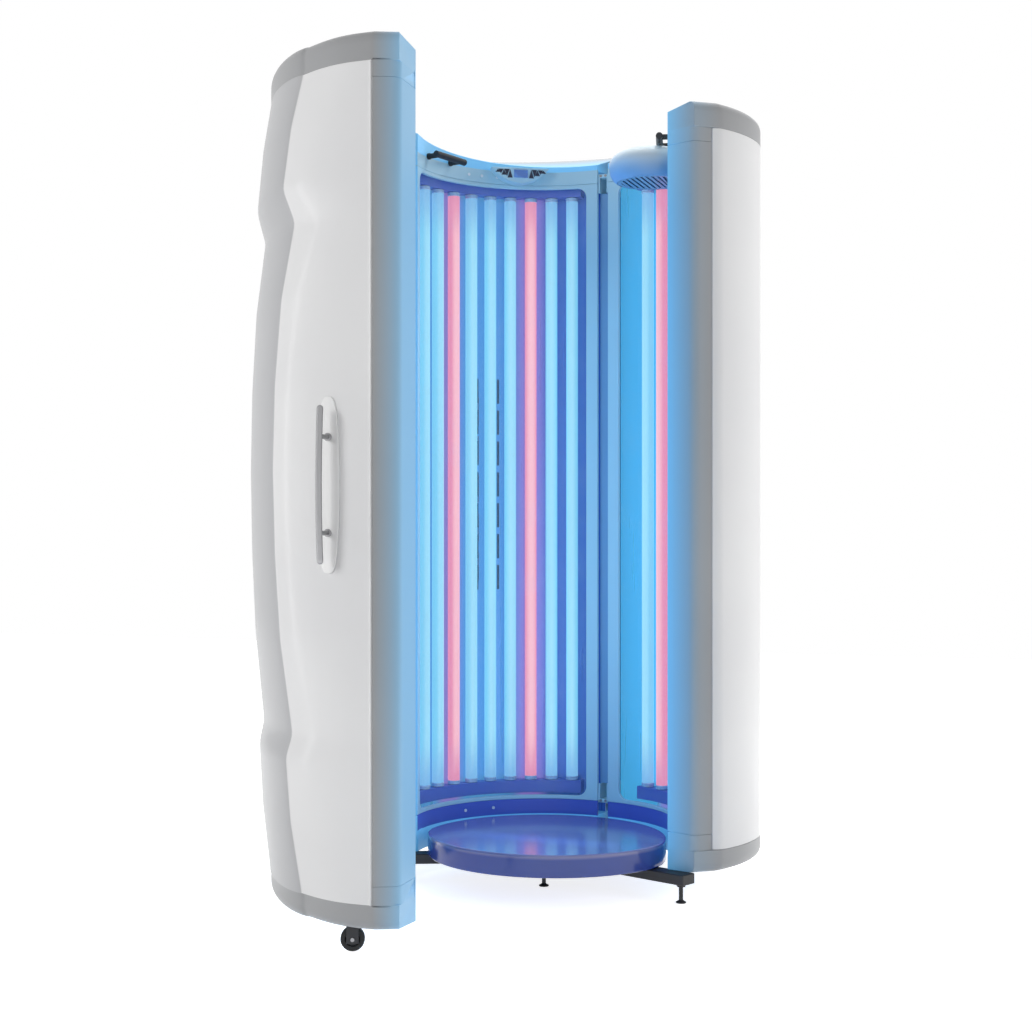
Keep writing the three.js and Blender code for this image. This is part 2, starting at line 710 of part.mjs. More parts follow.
// Control console under the top rim, shaped like a shallow hull
const hull = new THREE.Shape();
hull.moveTo(-consoleHalf, consoleTall);
hull.quadraticCurveTo(-consoleHalf * 0.7, consoleTall * 0.12, 0, 0);
hull.quadraticCurveTo(consoleHalf * 0.7, consoleTall * 0.12, consoleHalf, consoleTall);
hull.closePath();
const atConsole = (geometry) => geometry.rotateZ((consoleAngle - 90) * radians);
const hullBack = innerR + frameWall;
const hullBlock = new THREE.ExtrudeGeometry(
  hull, { depth: consoleDeep, bevelEnabled: false, curveSegments: 6 },
).rotateX(Math.PI / 2).translate(0, hullBack, consoleBottomZ);
piece('console_housing', common(atConsole(hullBlock), standing), 'frame');
const displayFace = hullBack - consoleDeep - seat - plateWall / 2;
piece('console_display', atConsole(
  box(0, displayFace, (consoleBottomZ + consoleTopZ) / 2 + plateWall, displayWide, plateWall, displayTall),
), 'screen');

// Fan pod hung inside the right module's top rim
const [podX, podY] = polar(podRing, podAngle);
const podMouth = podR - podWall * 2;
const ceilingZ = podTopZ - podWall;
piece('fan_pod', common(turned([
  [0, ceilingZ], [podR * 0.7, ceilingZ], [podR - podWall, (podBottomZ + podTopZ) / 2],
  [podR - podWall, podBottomZ + podWall * 4], [podMouth, podBottomZ], [podR - podWall, podBottomZ],
  [podR, podBottomZ + podWall * 4], [podR, (podBottomZ + podTopZ) / 2], [podR * 0.72, podTopZ], [0, podTopZ],
], podX, podY, 28), standing), 'shell');
const grilleSlots = [-3, -2, -1, 0, 1, 2, 3].map((row) => {
  const offset = row * podR * 0.22;
  const length = 2 * Math.sqrt((podMouth * 0.82) ** 2 - offset * offset);
  return box(podX + offset, podY, podBottomZ, podWall * 3, length, podWall * 8);
});
const grilleR = podMouth - seat * 2;
const grilleBack = bar([0, 0, 0], [0, 0, boothTopZ], standingR - podWall, 96);
piece('fan_grille', cut(common(
  bar([podX, podY, podBottomZ], [podX, podY, podBottomZ + podWall], grilleR, 28), grilleBack,
), ...grilleSlots), 'trim');
const motorZ = ceilingZ - seat - motorTall;
const hubTop = motorZ - seat * 4;
const shaftR = hubR * 0.3;
piece('fan_motor', turned([
  [0, hubTop - bladeTall], [shaftR, hubTop - bladeTall], [shaftR, motorZ], [motorR, motorZ],
  [motorR, ceilingZ - seat], [0, ceilingZ - seat],
], podX, podY, 16), 'black');
const hubBore = shaftR + seat;
const hub = turned([
  [hubBore, hubTop - bladeTall], [hubR, hubTop - bladeTall], [hubR, hubTop], [hubBore, hubTop],
  [hubBore, hubTop - bladeTall],
], podX, podY, 16);
const bladeRoot = 3;
const bladeWall = 2;
const bladeTilt = 40;
const bladeShape = () => new THREE.BoxGeometry(rotorR - hubR + bladeRoot, bladeWall, bladeTall);
const blades = Array.from({ length: rotorBlades }, (_, i) => bladeShape()
  .rotateX(bladeTilt * radians).translate((rotorR + hubR - bladeRoot) / 2, 0, hubTop - bladeTall / 2)
  .rotateZ(2 * Math.PI * i / rotorBlades).translate(podX, podY, 0));
piece('fan_rotor', join(hub, ...blades), 'black');

// Door handle: a bar on two posts over an oval plate, on the white side of the door
const facetEnds = handleFacet.map((share) => sidePoint(share, swellAt(handleZ)));
const handleAt = [0, 1].map((i) => (facetEnds[0][i] + facetEnds[1][i]) / 2);
const handleTurn = Math.atan2(facetEnds[0][1] - facetEnds[1][1], facetEnds[0][0] - facetEnds[1][0]);
const onHandle = (geometry) => geometry.rotateZ(handleTurn - Math.PI).translate(...handleAt, handleZ);
const oval = new THREE.Shape();
oval.absellipse(0, 0, plateWide / 2, plateTall / 2, 0, 2 * Math.PI);
const plate = new THREE.ExtrudeGeometry(oval, { depth: plateWall, bevelEnabled: false, curveSegments: 14 })
  .rotateX(Math.PI / 2).translate(0, plateWall + seat * 2, 0);
piece('handle_plate', onHandle(plate), 'shell', door);
const plateFace = plateWall + seat * 3;
const barPost = (z) => bar([0, plateFace, z], [0, handleReach, z], handleR * 0.75, 10);
piece('handle_bar', onHandle(join(
  bar([0, handleReach, -handleLength / 2], [0, handleReach, handleLength / 2], handleR, 12),
  barPost(-handleStandoffs / 2), barPost(handleStandoffs / 2),
)), 'steel', door);

// Caster under the door's free half, rolling across the line to the hinge
const casterY = doorCy - Math.sqrt(doorR * doorR - casterX * casterX) - casterOut;
const casterTurn = Math.atan2(casterY - hingeY, casterX - hingeX);
const onCaster = (geometry) => geometry.rotateZ(casterTurn).translate(casterX, casterY, 0);
const wheelBore = axleR + pinGap;
const wheelRound = 5;
const wheelProfile = [
  [wheelBore, -wheelWide / 2], [wheelR - wheelRound, -wheelWide / 2], [wheelR, wheelRound - wheelWide / 2],
  [wheelR, wheelWide / 2 - wheelRound], [wheelR - wheelRound, wheelWide / 2], [wheelBore, wheelWide / 2],
  [wheelBore, -wheelWide / 2],
];
piece('caster_wheel', onCaster(
  turned(wheelProfile, 0, 0, 24).rotateY(Math.PI / 2).translate(0, 0, wheelR),
), 'black', door);
const cheekX = wheelWide / 2 + 1 + forkWall / 2;
const forkTop = undersideZ - seat;
const cheekLow = wheelR - axleR * 2;
const cheek = (side) => box(side * cheekX, 0, (forkTop + cheekLow) / 2, forkWall, wheelR, forkTop - cheekLow);
const crown = box(0, 0, forkTop - forkWall * 2, cheekX * 2 + forkWall, wheelR * 1.6, forkWall * 4);
const axleReach = cheekX + forkWall / 2 + 2;
piece('caster_fork', onCaster(cut(
  join(cheek(1), cheek(-1), crown),
  bar([-axleReach, 0, wheelR], [axleReach, 0, wheelR], axleR + seat, 16),
)), 'black', door);
const axle = bar([-axleReach, 0, wheelR], [axleReach, 0, wheelR], axleR, 16);
piece('caster_axle', onCaster(axle), 'steel', door);

// Lift-off hinges in the groove between the two left pillars
const hingePoint = [hingeX, hingeY];
function knuckle(from, to, z0) {
  const length = Math.hypot(to[0] - from[0], to[1] - from[1]);
  const along = [(to[0] - from[0]) / length, (to[1] - from[1]) / length];
  const across = ([x, y]) => x * along[1] - y * along[0];
  const away = Math.sign(across(hingePoint) - across(from));
  const clear = [along[1] * away * seat, -along[0] * away * seat];
  const onFace = (share) => [0, 1].map((i) => from[i] + along[i] * length * share + clear[i]);
  const half = barrelR * 0.7;
  const beside = (sign) => [hingePoint[0] + along[0] * half * sign, hingePoint[1] + along[1] * half * sign];
  const tab = prism([onFace(0.4), onFace(0.85), beside(1), beside(-1)], z0, z0 + knuckleTall);
  return join(tab, bar([...hingePoint, z0], [...hingePoint, z0 + knuckleTall], barrelR, 20));
}
const leftNose = [-noseX, noseY];
const leftSeam = [-seamX, seamY];
const doorLeftNose = [-doorNose[0], doorNose[1]];
const doorLeftSeam = [-doorSeamX, doorSeamY];
for (const [name, z] of [['lower', hingeLowZ], ['upper', hingeHighZ]]) {
  const pinTop = z + knuckleTall * 2 - seat;
  piece(`${name}_hinge_pin_bracket`, join(
    knuckle(leftNose, leftSeam, z), bar([...hingePoint, z + 1], [...hingePoint, pinTop], pinR, 20),
  ), 'steel');
  const bore = bar([...hingePoint, z], [...hingePoint, z + knuckleTall * 3], pinR + pinGap, 20);
  piece(`${name}_hinge_door_bracket`, cut(
    knuckle(doorLeftNose, doorLeftSeam, z + knuckleTall + seat), bore,
  ), 'steel', door);
}

// The door is drawn closed and stands open about its hinge
door.rotation.z = -doorOpenAngle * radians;
const swung = new THREE.Vector3(hingeX, hingeY, 0).applyEuler(door.rotation);
door.position.set(hingeX - swung.x, hingeY - swung.y, 0);

export default booth;
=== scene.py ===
import math
import bpy
import bmesh
import numpy as np
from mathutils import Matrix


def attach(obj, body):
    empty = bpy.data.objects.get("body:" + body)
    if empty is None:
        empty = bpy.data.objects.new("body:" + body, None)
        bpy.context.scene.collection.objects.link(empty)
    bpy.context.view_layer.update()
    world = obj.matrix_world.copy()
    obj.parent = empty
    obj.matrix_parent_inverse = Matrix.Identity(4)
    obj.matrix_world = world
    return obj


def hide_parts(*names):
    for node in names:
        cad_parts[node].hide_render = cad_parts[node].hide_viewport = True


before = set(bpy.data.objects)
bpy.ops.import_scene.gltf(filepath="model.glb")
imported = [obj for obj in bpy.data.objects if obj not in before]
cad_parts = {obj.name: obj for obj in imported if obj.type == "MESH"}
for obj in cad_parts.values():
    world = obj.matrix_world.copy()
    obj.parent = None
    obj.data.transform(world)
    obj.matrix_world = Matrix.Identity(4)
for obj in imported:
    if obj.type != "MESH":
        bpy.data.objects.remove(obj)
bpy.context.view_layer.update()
scene = bpy.context.scene
print("booth frame loaded:", len(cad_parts), "nodes")


class Settings(dict):  # what can be changed on a piece, read by name
    __getattr__ = dict.__getitem__


class Socket:  # a shader value: operators on it add Math nodes
    def __init__(self, owner, link):
        self.owner, self.link = owner, link

    def maths(self, operation, other, swap=False):
        first, second = (other, self) if swap else (self, other)
        return self.owner.node("ShaderNodeMath", {"operation": operation}, {0: first, 1: second})

    def __add__(self, other): return self.maths("ADD", other)
    def __radd__(self, other): return self.maths("ADD", other)
    def __sub__(self, other): return self.maths("SUBTRACT", other)
    def __rsub__(self, other): return self.maths("SUBTRACT", other, True)
    def __mul__(self, other): return self.maths("MULTIPLY", other)
    def __rmul__(self, other): return self.maths("MULTIPLY", other)


class NodeTree:  # nodes that end in one shader
    def __init__(self, tree, shader):
        self.tree, self.shader = tree, tree.nodes[shader]

    def put(self, socket, value):  # a Socket is linked, anything else is set as a constant
        if isinstance(value, Socket):
            self.tree.links.new(value.link, socket)
        else:
            socket.default_value = value

    def node(self, kind, settings=None, inputs=None, out=0):  # one new node, known by one of its outputs
        added = self.tree.nodes.new(kind)
        for key, value in (settings or {}).items():
            setattr(added, key, value)
        for key, value in (inputs or {}).items():
            self.put(added.inputs[key], value)
        return Socket(self, added.outputs[out])

    def feed(self, name, value):  # one input of the shader
        self.put(self.shader.inputs[name], value)

    def blend(self, mask, first, second):  # first x (1 - mask) + second x mask, by the node's colour sockets
        asColour = lambda c: c if isinstance(c, Socket) else (*c, 1)
        return self.node("ShaderNodeMix", {"data_type": "RGBA"},
                         {0: mask, 6: asColour(first), 7: asColour(second)}, 2)

    def seenRay(self):  # 1 where the camera, a reflection or a pane looks at the background
        rays = [self.node("ShaderNodeLightPath", out=f"Is {kind} Ray")
                for kind in ("Camera", "Glossy", "Transmission")]
        return rays[0].maths("MAXIMUM", rays[1]).maths("MAXIMUM", rays[2])


class Finish(NodeTree):  # a material, its constants given by the names of their sockets
    def __init__(self, name, **fixed):
        self.material = bpy.data.materials.new(name)
        self.material.use_nodes = True
        super().__init__(self.material.node_tree, "Principled BSDF")
        for key, value in fixed.items():
            self.shader.inputs[key.replace("_", " ")].default_value = value

    def spot(self, axis=None):  # a point's own place in metres, or one coordinate of it
        place = self.node("ShaderNodeTexCoord", out="Object")
        return self.node("ShaderNodeSeparateXYZ", None, {"Vector": place}, axis) if axis else place

    def share(self, name):  # the value that the mesh carries at each point
        return self.node("ShaderNodeAttribute", {"attribute_name": name}, out="Fac")

    def noise(self, scale, stretch=(1, 1, 1), detail=2):  # noise of a point's place, stretched along the axes
        place = self.node("ShaderNodeMapping", None, {"Vector": self.spot(), "Scale": stretch})
        return self.node("ShaderNodeTexNoise", None, {"Vector": place, "Scale": scale, "Detail": detail})

    def rise(self, value, low, high):  # smooth step from 0 at low to 1 at high
        return self.node("ShaderNodeMapRange", {"interpolation_type": "SMOOTHSTEP"},
                         {"Value": value, "From Min": low, "From Max": high})

    def bump(self, value, strength, distance):  # normal tilted by the slope of the value
        self.feed("Normal", self.node("ShaderNodeBump", None,
                                      {"Height": value, "Strength": strength, "Distance": distance}))


def moulded(name, tone, shade, rough, grain=500, depth=0.0004, coat=0.0, tint=None, lower=None,
            driftScale=1.7, driftStep=(0.35, 0.65), edgeDrift=0.002, lowCoat=0.1, roughSpread=0.1, bump=0.12,
            coatRough=0.16):
    # moulded or coated surface: tone and shade mixed by slow noise, roughness and bump by fine grain; another
    # colour by a named share of each point, or below a height, where the coat thins too
    finish = Finish(name, Coat_Weight=coat, Coat_Roughness=coatRough)
    drift = finish.noise(driftScale)
    fine = finish.noise(grain)
    colour = finish.blend(finish.rise(drift, *driftStep), tone, shade)
    if tint:
        colour = finish.blend(finish.share(tint[0]), colour, tint[1])
    if lower:
        upper = finish.rise(finish.spot("Z") + drift * edgeDrift, *lower[1])
        colour = finish.blend(upper, lower[0], colour)
        finish.feed("Coat Weight", coat * (lowCoat + upper * (1 - lowCoat)))
    finish.feed("Base Color", colour)
    finish.feed("Roughness", rough - roughSpread / 2 + fine * roughSpread)
    finish.bump(fine, bump, depth)
    return finish


finishes = {
    # the grey on the door's front between its ridges is painted shade of a face turned away from the light
    "shell": moulded("satinWhiteShell", (0.83, 0.83, 0.835), (0.79, 0.79, 0.80), rough=0.46, grain=700,
                     depth=0.0006, coat=0.3, tint=("paintedFrontShade", (0.48, 0.485, 0.50))),
    "gloss": moulded("glossWhitePlate", (0.93, 0.93, 0.93), (0.91, 0.91, 0.91), rough=0.3, grain=700,
                     coat=0.5),
    "frame": moulded("paleBlueFrame", (0.47, 0.67, 0.75), (0.43, 0.63, 0.72), rough=0.34, coat=0.2),
    "pale": moulded("paleLavender", (0.55, 0.66, 0.82), (0.50, 0.62, 0.79), rough=0.36, coat=0.1),
    # the pod's blue below 2.098 to 2.170 m is painted light of the blue lamps from below
    "pod": moulded("paleBluePod", (0.82, 0.92, 0.97), (0.78, 0.90, 0.96), rough=0.32, coat=0.2,
                   lower=((0.20, 0.40, 0.68), (2.098, 2.170))),
    "recess": moulded("blueRecess", (0.21, 0.37, 0.57), (0.18, 0.33, 0.53), rough=0.4),
    "rail": moulded("violetRail", (0.10, 0.15, 0.58), (0.08, 0.12, 0.52), rough=0.38, coat=0.1),
    "plate": moulded("violetPlatform", (0.22, 0.22, 0.46), (0.19, 0.19, 0.42), rough=0.16, grain=260,
                     depth=0.0002, coat=0.9, lower=((0.05, 0.085, 0.36), (0.136, 0.146))),
    "black": moulded("blackCoat", (0.018, 0.018, 0.021), (0.012, 0.012, 0.014), rough=0.5, grain=900,
                     depth=0.0008),
    "rubber": moulded("blackRubber", (0.012, 0.012, 0.012), (0.02, 0.02, 0.02), rough=0.72, depth=0.001),
    # near black: painted shade on the vent slots and console cells, the own colour of the fan's motor and rotor
    "dark": moulded("darkRecess", (0.01, 0.014, 0.03), (0.015, 0.02, 0.045), rough=0.6, grain=300,
                    depth=0.0005),
    # the posts' and caps' blue tint and emission towards the cabin are painted lamp light
    "post": moulded("greyPostPaintedGlow", (0.36, 0.365, 0.375), (0.33, 0.335, 0.345), rough=0.42, grain=600,
                    depth=0.0006, coat=0.1, tint=("paintedLampGlow", (0.24, 0.50, 0.72))),
}


def paintedLampLight(finish, share, colour, level):
    # painted lamp light: emission on a part that is no lamp, growing with the square of a named share of each
    # point
    part = finish.share(share)
    finish.feed("Emission Color", finish.blend(part * part, (0, 0, 0), colour))
    finish.feed("Emission Strength", level)


paintedLampLight(finishes["post"], "paintedLampGlow", (0.05, 0.28, 0.52), 0.5)


def tubeFinish(name, core, glow, ends, glass, level, rough=0.18, lowFade=(0.25, 0.42), highFade=(1.96, 2.12),
               driftScale=3.0, stretch=(1, 1, 0.4), driftStep=(0.3, 0.7), lightDrift=0.14, glassDrift=0.06):
    # lit tube: glow and core mixed by the side that faces the cabin, the ends' colour by height, a faint drift
    finish = Finish(name, Roughness=rough, Emission_Strength=level)
    up = finish.spot("Z")
    middle = finish.rise(up, *lowFade) * (1 - finish.rise(up, *highFade))
    drift = finish.rise(finish.noise(driftScale, stretch), *driftStep)
    lit = finish.blend(finish.share("tubeCore"), glow, core)
    finish.feed("Emission Color", finish.blend(middle * (1 - lightDrift + drift * lightDrift), ends, lit))
    finish.feed("Base Color", finish.blend(drift * glassDrift, glass, glow))
    return finish


finishes["tube"] = tubeFinish("litBlueTube", core=(0.36, 0.75, 0.90), glow=(0.20, 0.62, 0.86),
                              ends=(0.20, 0.46, 0.76), glass=(0.05, 0.12, 0.16), level=0.9)
finishes["pinkTube"] = tubeFinish("litPinkTube", core=(1.0, 0.54, 0.60), glow=(0.84, 0.24, 0.38),
                                  ends=(0.78, 0.27, 0.43), glass=(0.16, 0.04, 0.05), level=0.92)


def backSheet(name, tones, glow, side=None, pinks=(), metal=0.6, level=0.6, driftScale=2.2,
              stretch=(1, 1, 0.25), driftStep=(0.3, 0.7), pinkReach=(0.04, 0.14), pinkShare=0.8,
              paintedPinkGlow=(0.40, 0.20, 0.58), brushScale=60, brushStretch=(1, 1, 0.05), rough=0.22, brushed=0.16):
    # polished sheet behind the tubes: brushed along its height, with the tubes' light on it painted as
    # emission, another painted light beyond an angle about the cabin's axis, and painted mauve light by the
    # angle from a pink tube
    finish = Finish(name, Metallic=metal, Emission_Strength=level)
    drift = finish.rise(finish.noise(driftScale, stretch, 3), *driftStep)
    finish.feed("Base Color", finish.blend(drift, *tones))
    lit = finish.blend(drift, *glow)
    if pinks:
        turn = finish.spot("Y").maths("ARCTAN2", finish.spot("X"))
        near = [1 - finish.rise((turn - angle).maths("ABSOLUTE", 0.0), *pinkReach) for angle in pinks]
        if side:
            lit = finish.blend(finish.rise(turn, *side[0]), lit, side[1])
        lit = finish.blend((near[0] + near[1]) * pinkShare, lit, paintedPinkGlow)
    finish.feed("Emission Color", lit)
    finish.feed("Roughness", rough + finish.noise(brushScale, brushStretch) * brushed)
    return finish


# base tones, then the painted glow of the tubes on each sheet
blueSheet = ((0.03, 0.08, 0.34), (0.05, 0.12, 0.42)), ((0.010, 0.04, 0.18), (0.016, 0.06, 0.22))
cyanSheet = ((0.05, 0.30, 0.60), (0.07, 0.36, 0.68)), ((0.05, 0.42, 0.62), (0.07, 0.48, 0.70))
finishes["sheet"] = backSheet("blueBackSheet", *blueSheet)

# Clear sheet: faint wear in its gloss and clearness
clear = finishes["clear"] = Finish("clearAcrylic", Base_Color=(0.75, 0.9, 1.0, 1), IOR=1.49)
clearWear = clear.rise(clear.noise(9, detail=4), 0.45, 0.8)
clear.feed("Roughness", 0.04 + clearWear * 0.06)
clear.feed("Alpha", 0.05 + clearWear * 0.03)

# Steel: fine lines along its height
steel = finishes["steel"] = Finish("brushedSteel", Metallic=1.0)
steelLines = steel.noise(900, (1, 1, 0.02))
steel.feed("Base Color", steel.blend(steelLines, (0.27, 0.27, 0.28), (0.38, 0.38, 0.39)))
steel.feed("Roughness", 0.34 + steelLines * 0.16)
steel.bump(steelLines, 0.1, 0.0003)

# Screen: soft bands of light under a coat
screen = finishes["screen"] = Finish("blueScreen", Roughness=0.12, Coat_Weight=0.6, Emission_Strength=0.5)
screenBand = screen.rise(screen.noise(45, detail=1), 0.4, 0.6)
screen.feed("Base Color", screen.blend(screenBand, (0.02, 0.07, 0.2), (0.03, 0.10, 0.28)))
screen.feed("Emission Color", screen.blend(screenBand, (0.02, 0.12, 0.45), (0.05, 0.2, 0.6)))
print("finishes ready:", len(finishes))


class Shape:  # gathers grids of points, then becomes one mesh
    def __init__(self):
        self.points, self.faces, self.count = [], [], 0

    def grid(self, rows, ends=True):
        # rows x columns of points, the last column joined to the first; ends close the first and last rows
        rows = np.asarray(rows, dtype=float)
        high, wide = rows.shape[:2]
        index = np.arange(high * wide).reshape(high, wide) + self.count
        across = np.c_[index, index[:, :1]]
        quads = np.stack([across[:-1, :-1], across[:-1, 1:], across[1:, 1:], across[1:, :-1]], -1)
        self.faces += quads.reshape(-1, 4).tolist()
        if ends:
            self.faces += [index[0, ::-1].tolist(), index[-1].tolist()]
        self.points.append(rows.reshape(-1, 3))
        self.count += high * wide
        return self

    def lift(self, loop, low, high):  # one flat outline carried from a level to another
        return self.grid(stacked([loop, loop], [low, high]))


softEdge = Settings(post=0.0012, sheet=0.0015, cap=0.002, beam=0.003, plate=0.006)


def addPiece(name, shape, finish, node=None, move=None, bevel=0.0, turns=2, sharp=35, tint=None,
             body="cabin"):
    # points as drawn, moved to their place and welded into a smooth mesh that rides its body, in place of the
    # node where one is named; tint names a share of each point as drawn
    drawn = np.vstack(shape.points)
    mesh = bpy.data.meshes.new(name)
    mesh.from_pydata((move(drawn) if move else drawn).tolist(), [], shape.faces)
    if tint:
        mesh.attributes.new(tint[0], "FLOAT", "POINT").data.foreach_set("value", tint[1](drawn))
    work = bmesh.new()
    work.from_mesh(mesh)
    bmesh.ops.remove_doubles(work, verts=work.verts, dist=1e-6)
    bmesh.ops.dissolve_degenerate(work, dist=1e-7, edges=work.edges)
    bmesh.ops.recalc_face_normals(work, faces=work.faces)
    work.to_mesh(mesh)
    work.free()
    mesh.polygons.foreach_set("use_smooth", np.ones(len(mesh.polygons), dtype=bool))
    piece = bpy.data.objects.new(name, mesh)
    scene.collection.objects.link(piece)
    mesh.materials.append(finishes[finish].material)
    if bevel:
        edge = piece.modifiers.new("softEdge", "BEVEL")
        edge.width, edge.segments, edge.harden_normals = bevel, turns, True
        edge.limit_method, edge.angle_limit = "ANGLE", math.radians(sharp)
    else:
        mesh.set_sharp_from_angle(angle=math.radians(sharp))
    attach(piece, body)
    if node:
        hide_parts(node)


def dress(finish, *nodes):
    # solids that keep their own shape take the finish
    for node in nodes:
        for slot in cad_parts[node].material_slots:
            slot.material = finishes[finish].material


tiny = 1e-9  # keeps a length of zero out of a division
arcStep = 1.5  # degrees between the points of an arc


def onCircle(radius, degrees, centreY=0.0):
    # (radius x cos, centreY + radius x sin) at each angle
    turn = np.radians(degrees)
    return np.stack([radius * np.cos(turn), centreY + radius * np.sin(turn)], -1)


def arcPath(radius, start, end, centreY=0.0):
    # points of a circle at even angles from start to end
    return onCircle(radius, np.linspace(start, end, max(3, int(abs(end - start) / arcStep) + 1)), centreY)


def offsetPath(path, distance):
    # each point moves to its right along the mean normal of its two segments
    step = np.diff(path, axis=0)
    unit = step / np.maximum(np.linalg.norm(step, axis=1, keepdims=True), tiny)
    total = np.vstack([unit[:1], unit]) + np.vstack([unit, unit[-1:]])
    spread = distance * 2 / (total ** 2).sum(1, keepdims=True)
    return path + np.c_[total[:, 1], -total[:, 0]] * spread


def pathShares(path):
    # length up to each point over the whole length
    length = np.r_[0, np.cumsum(np.linalg.norm(np.diff(path, axis=0), axis=1))]
    return length / length[-1]


def alongPath(path, shares):
    # points at these shares of the path's length, straight between its own points
    own = pathShares(path)
    return np.c_[np.interp(shares, own, path[:, 0]), np.interp(shares, own, path[:, 1])]


def strip(path, wall):
    # closed outline: the path, and back along the path moved by the wall
    return np.vstack([path, offsetPath(path, wall)[::-1]])


def stacked(loops, levels):
    # flat outlines, each lifted to its level
    loops = np.asarray(loops)
    up = np.broadcast_to(np.asarray(levels, dtype=float)[:, None, None], loops.shape[:2] + (1,))
    return np.concatenate([loops, up], 2)


def slab(shape, low, high):
    # box between two opposite corners
    (x0, y0, z0), (x1, y1, z1) = low, high
    loop = np.array([(x0, y0), (x1, y0), (x1, y1), (x0, y1)])
    shape.lift(loop, z0, z1)


def upright(loop, depth):
    # outline of (x, z) stood up at a depth along y
    return np.c_[loop[:, 0], np.broadcast_to(depth, len(loop)), loop[:, 1]]


def quadCurve(first, pull, last, count):
    # (1 - t)^2 x first + 2 t (1 - t) x pull + t^2 x last
    t = np.linspace(0, 1, count)[:, None]
    return (1 - t) ** 2 * first + 2 * t * (1 - t) * pull + t ** 2 * last


def roundCorner(before, corner, after, radius, count=9):
    # quadratic curve that leaves each leg at the radius from the corner
    towards = lambda target: corner + (target - corner) * radius / np.linalg.norm(target - corner)
    return quadCurve(towards(before), corner, towards(after), count)


def roundTurn(sides):
    # even angles over a whole turn
    return np.linspace(0, 2 * np.pi, sides, endpoint=False)


def turnedRows(profile, centre, sides):
    # profile of (radius, height) carried round a vertical axis
    profile = np.asarray(profile, dtype=float)
    turn = roundTurn(sides)
    ring = np.c_[np.cos(turn), np.sin(turn)]
    loops = profile[:, None, :1] * ring[None] + np.asarray(centre)
    return stacked(loops, profile[:, 1])


def sweptRows(path, radius, sides=16, steep=0.8):
    # circle carried along a path in space, square to it at every point
    path = np.asarray(path, dtype=float)
    radius = np.broadcast_to(np.asarray(radius, dtype=float), (len(path),))
    along = np.gradient(path, axis=0)
    along /= np.linalg.norm(along, axis=1, keepdims=True)
    guide = np.array([0.0, 0.0, 1.0]) if abs(along[len(path) // 2, 2]) < steep else np.array([1.0, 0.0, 0.0])
    side = np.cross(along, guide)
    side /= np.linalg.norm(side, axis=1, keepdims=True)
    other = np.cross(along, side)
    turn = roundTurn(sides)
    ring = np.cos(turn)[None, :, None] * side[:, None] + np.sin(turn)[None, :, None] * other[:, None]
    return path[:, None] + ring * radius[:, None, None]


def roundedRod(start, end, radius, sides=18, ball=0.9, first=0.08):
    # straight rod whose ends close in quarter circles, from a first angle on
    start, end = np.asarray(start, dtype=float), np.asarray(end, dtype=float)
    turn = np.linspace(first, np.pi / 2, 6)
    nose = radius * ball * (1 - np.sin(turn)) / np.linalg.norm(end - start)
    share = np.r_[nose, 1 - nose[::-1]]
    size = radius * np.r_[np.cos(np.pi / 2 - turn), np.cos(np.pi / 2 - turn[::-1])]
    return sweptRows(start + share[:, None] * (end - start), size, sides)


def turnedBy(degrees, about=(0.0, 0.0)):
    # turn about an upright line: (x cos - y sin, x sin + y cos) from that line
    turn = math.radians(degrees)
    spin = np.array([[math.cos(turn), math.sin(turn)], [-math.sin(turn), math.cos(turn)]])
    return lambda points: np.c_[(points[:, :2] - about) @ spin + about, points[:, 2]]


heights = Settings(
    underside=0.085, panelLow=0.150, pillarLow=0.195, pillarTop=2.160, panelTop=2.200, top=2.277, lampLow=0.250,
    lampTop=2.128, seat=0.0003)
booth = Settings(
    innerR=0.390, endY=-0.043, nose=(0.477, -0.087), seam=(0.519, -0.046), noseRound=0.022, sideHalf=0.606,
    sideY=0.190, frontRise=0.508, backRise=0.410, panelEdgeY=-0.038, jointAngle=80, jointGap=0.036,
    frameWall=0.012, capWall=0.008, capRound=0.034, capSink=0.004, rimDrop=0.020, rimSlope=0.09,
    panelWall=0.006, panelRound=0.016, rail=0.012, jointStile=0.039, endStile=0.022, windowRound=0.030,
    paneOut=0.0133, paneWall=0.003, paneEnd=1.6, paneJoint=1.2)
lamps = Settings(
    radius=0.019, ring=0.050, pitch=8.75, sides=24, endGap=0.002, shoulder=0.006, shoulderFrom=0.25,
    straightFrom=0.05, coreFrom=0.5, coreSpan=0.45, railHeight=0.040, railHalf=0.016, railBack=0.024,
    capLength=0.013, capExtra=0.0006, capMouth=0.004, capBend=0.002, capLip=0.0008, capGrip=0.0002)
hinge = Settings(at=np.array([-0.529, -0.090]), open=-61)
seat = heights.seat
panelSpan = heights.panelLow + seat, heights.panelTop - seat
pillarSpan = heights.pillarLow + seat, heights.pillarTop - seat
doorPlace = turnedBy(hinge.open, hinge.at)  # the door is drawn closed, then turned open about its hinge
mirrorPlace = lambda points: points * np.array([-1.0, 1.0, 1.0])


def cabinGlow(points, reach=0.510, fade=0.095):
    # share of painted lamp glow: (reach - distance from the cabin's axis) / fade, from 0 to 1
    return np.clip((reach - np.hypot(points[:, 0], points[:, 1])) / fade, 0, 1)


def doorGlow(points, frontY=-0.150, reach=0.47, fade=0.06, level=0.72):
    # share of painted lamp glow on the door: the larger of the lengths behind the front line and inside the
    # reach, over the fade, from 0 to the level
    inside = reach - np.hypot(points[:, 0], points[:, 1] - doorY)
    return level * np.clip(np.maximum(points[:, 1] - frontY, inside) / fade, 0, 1)


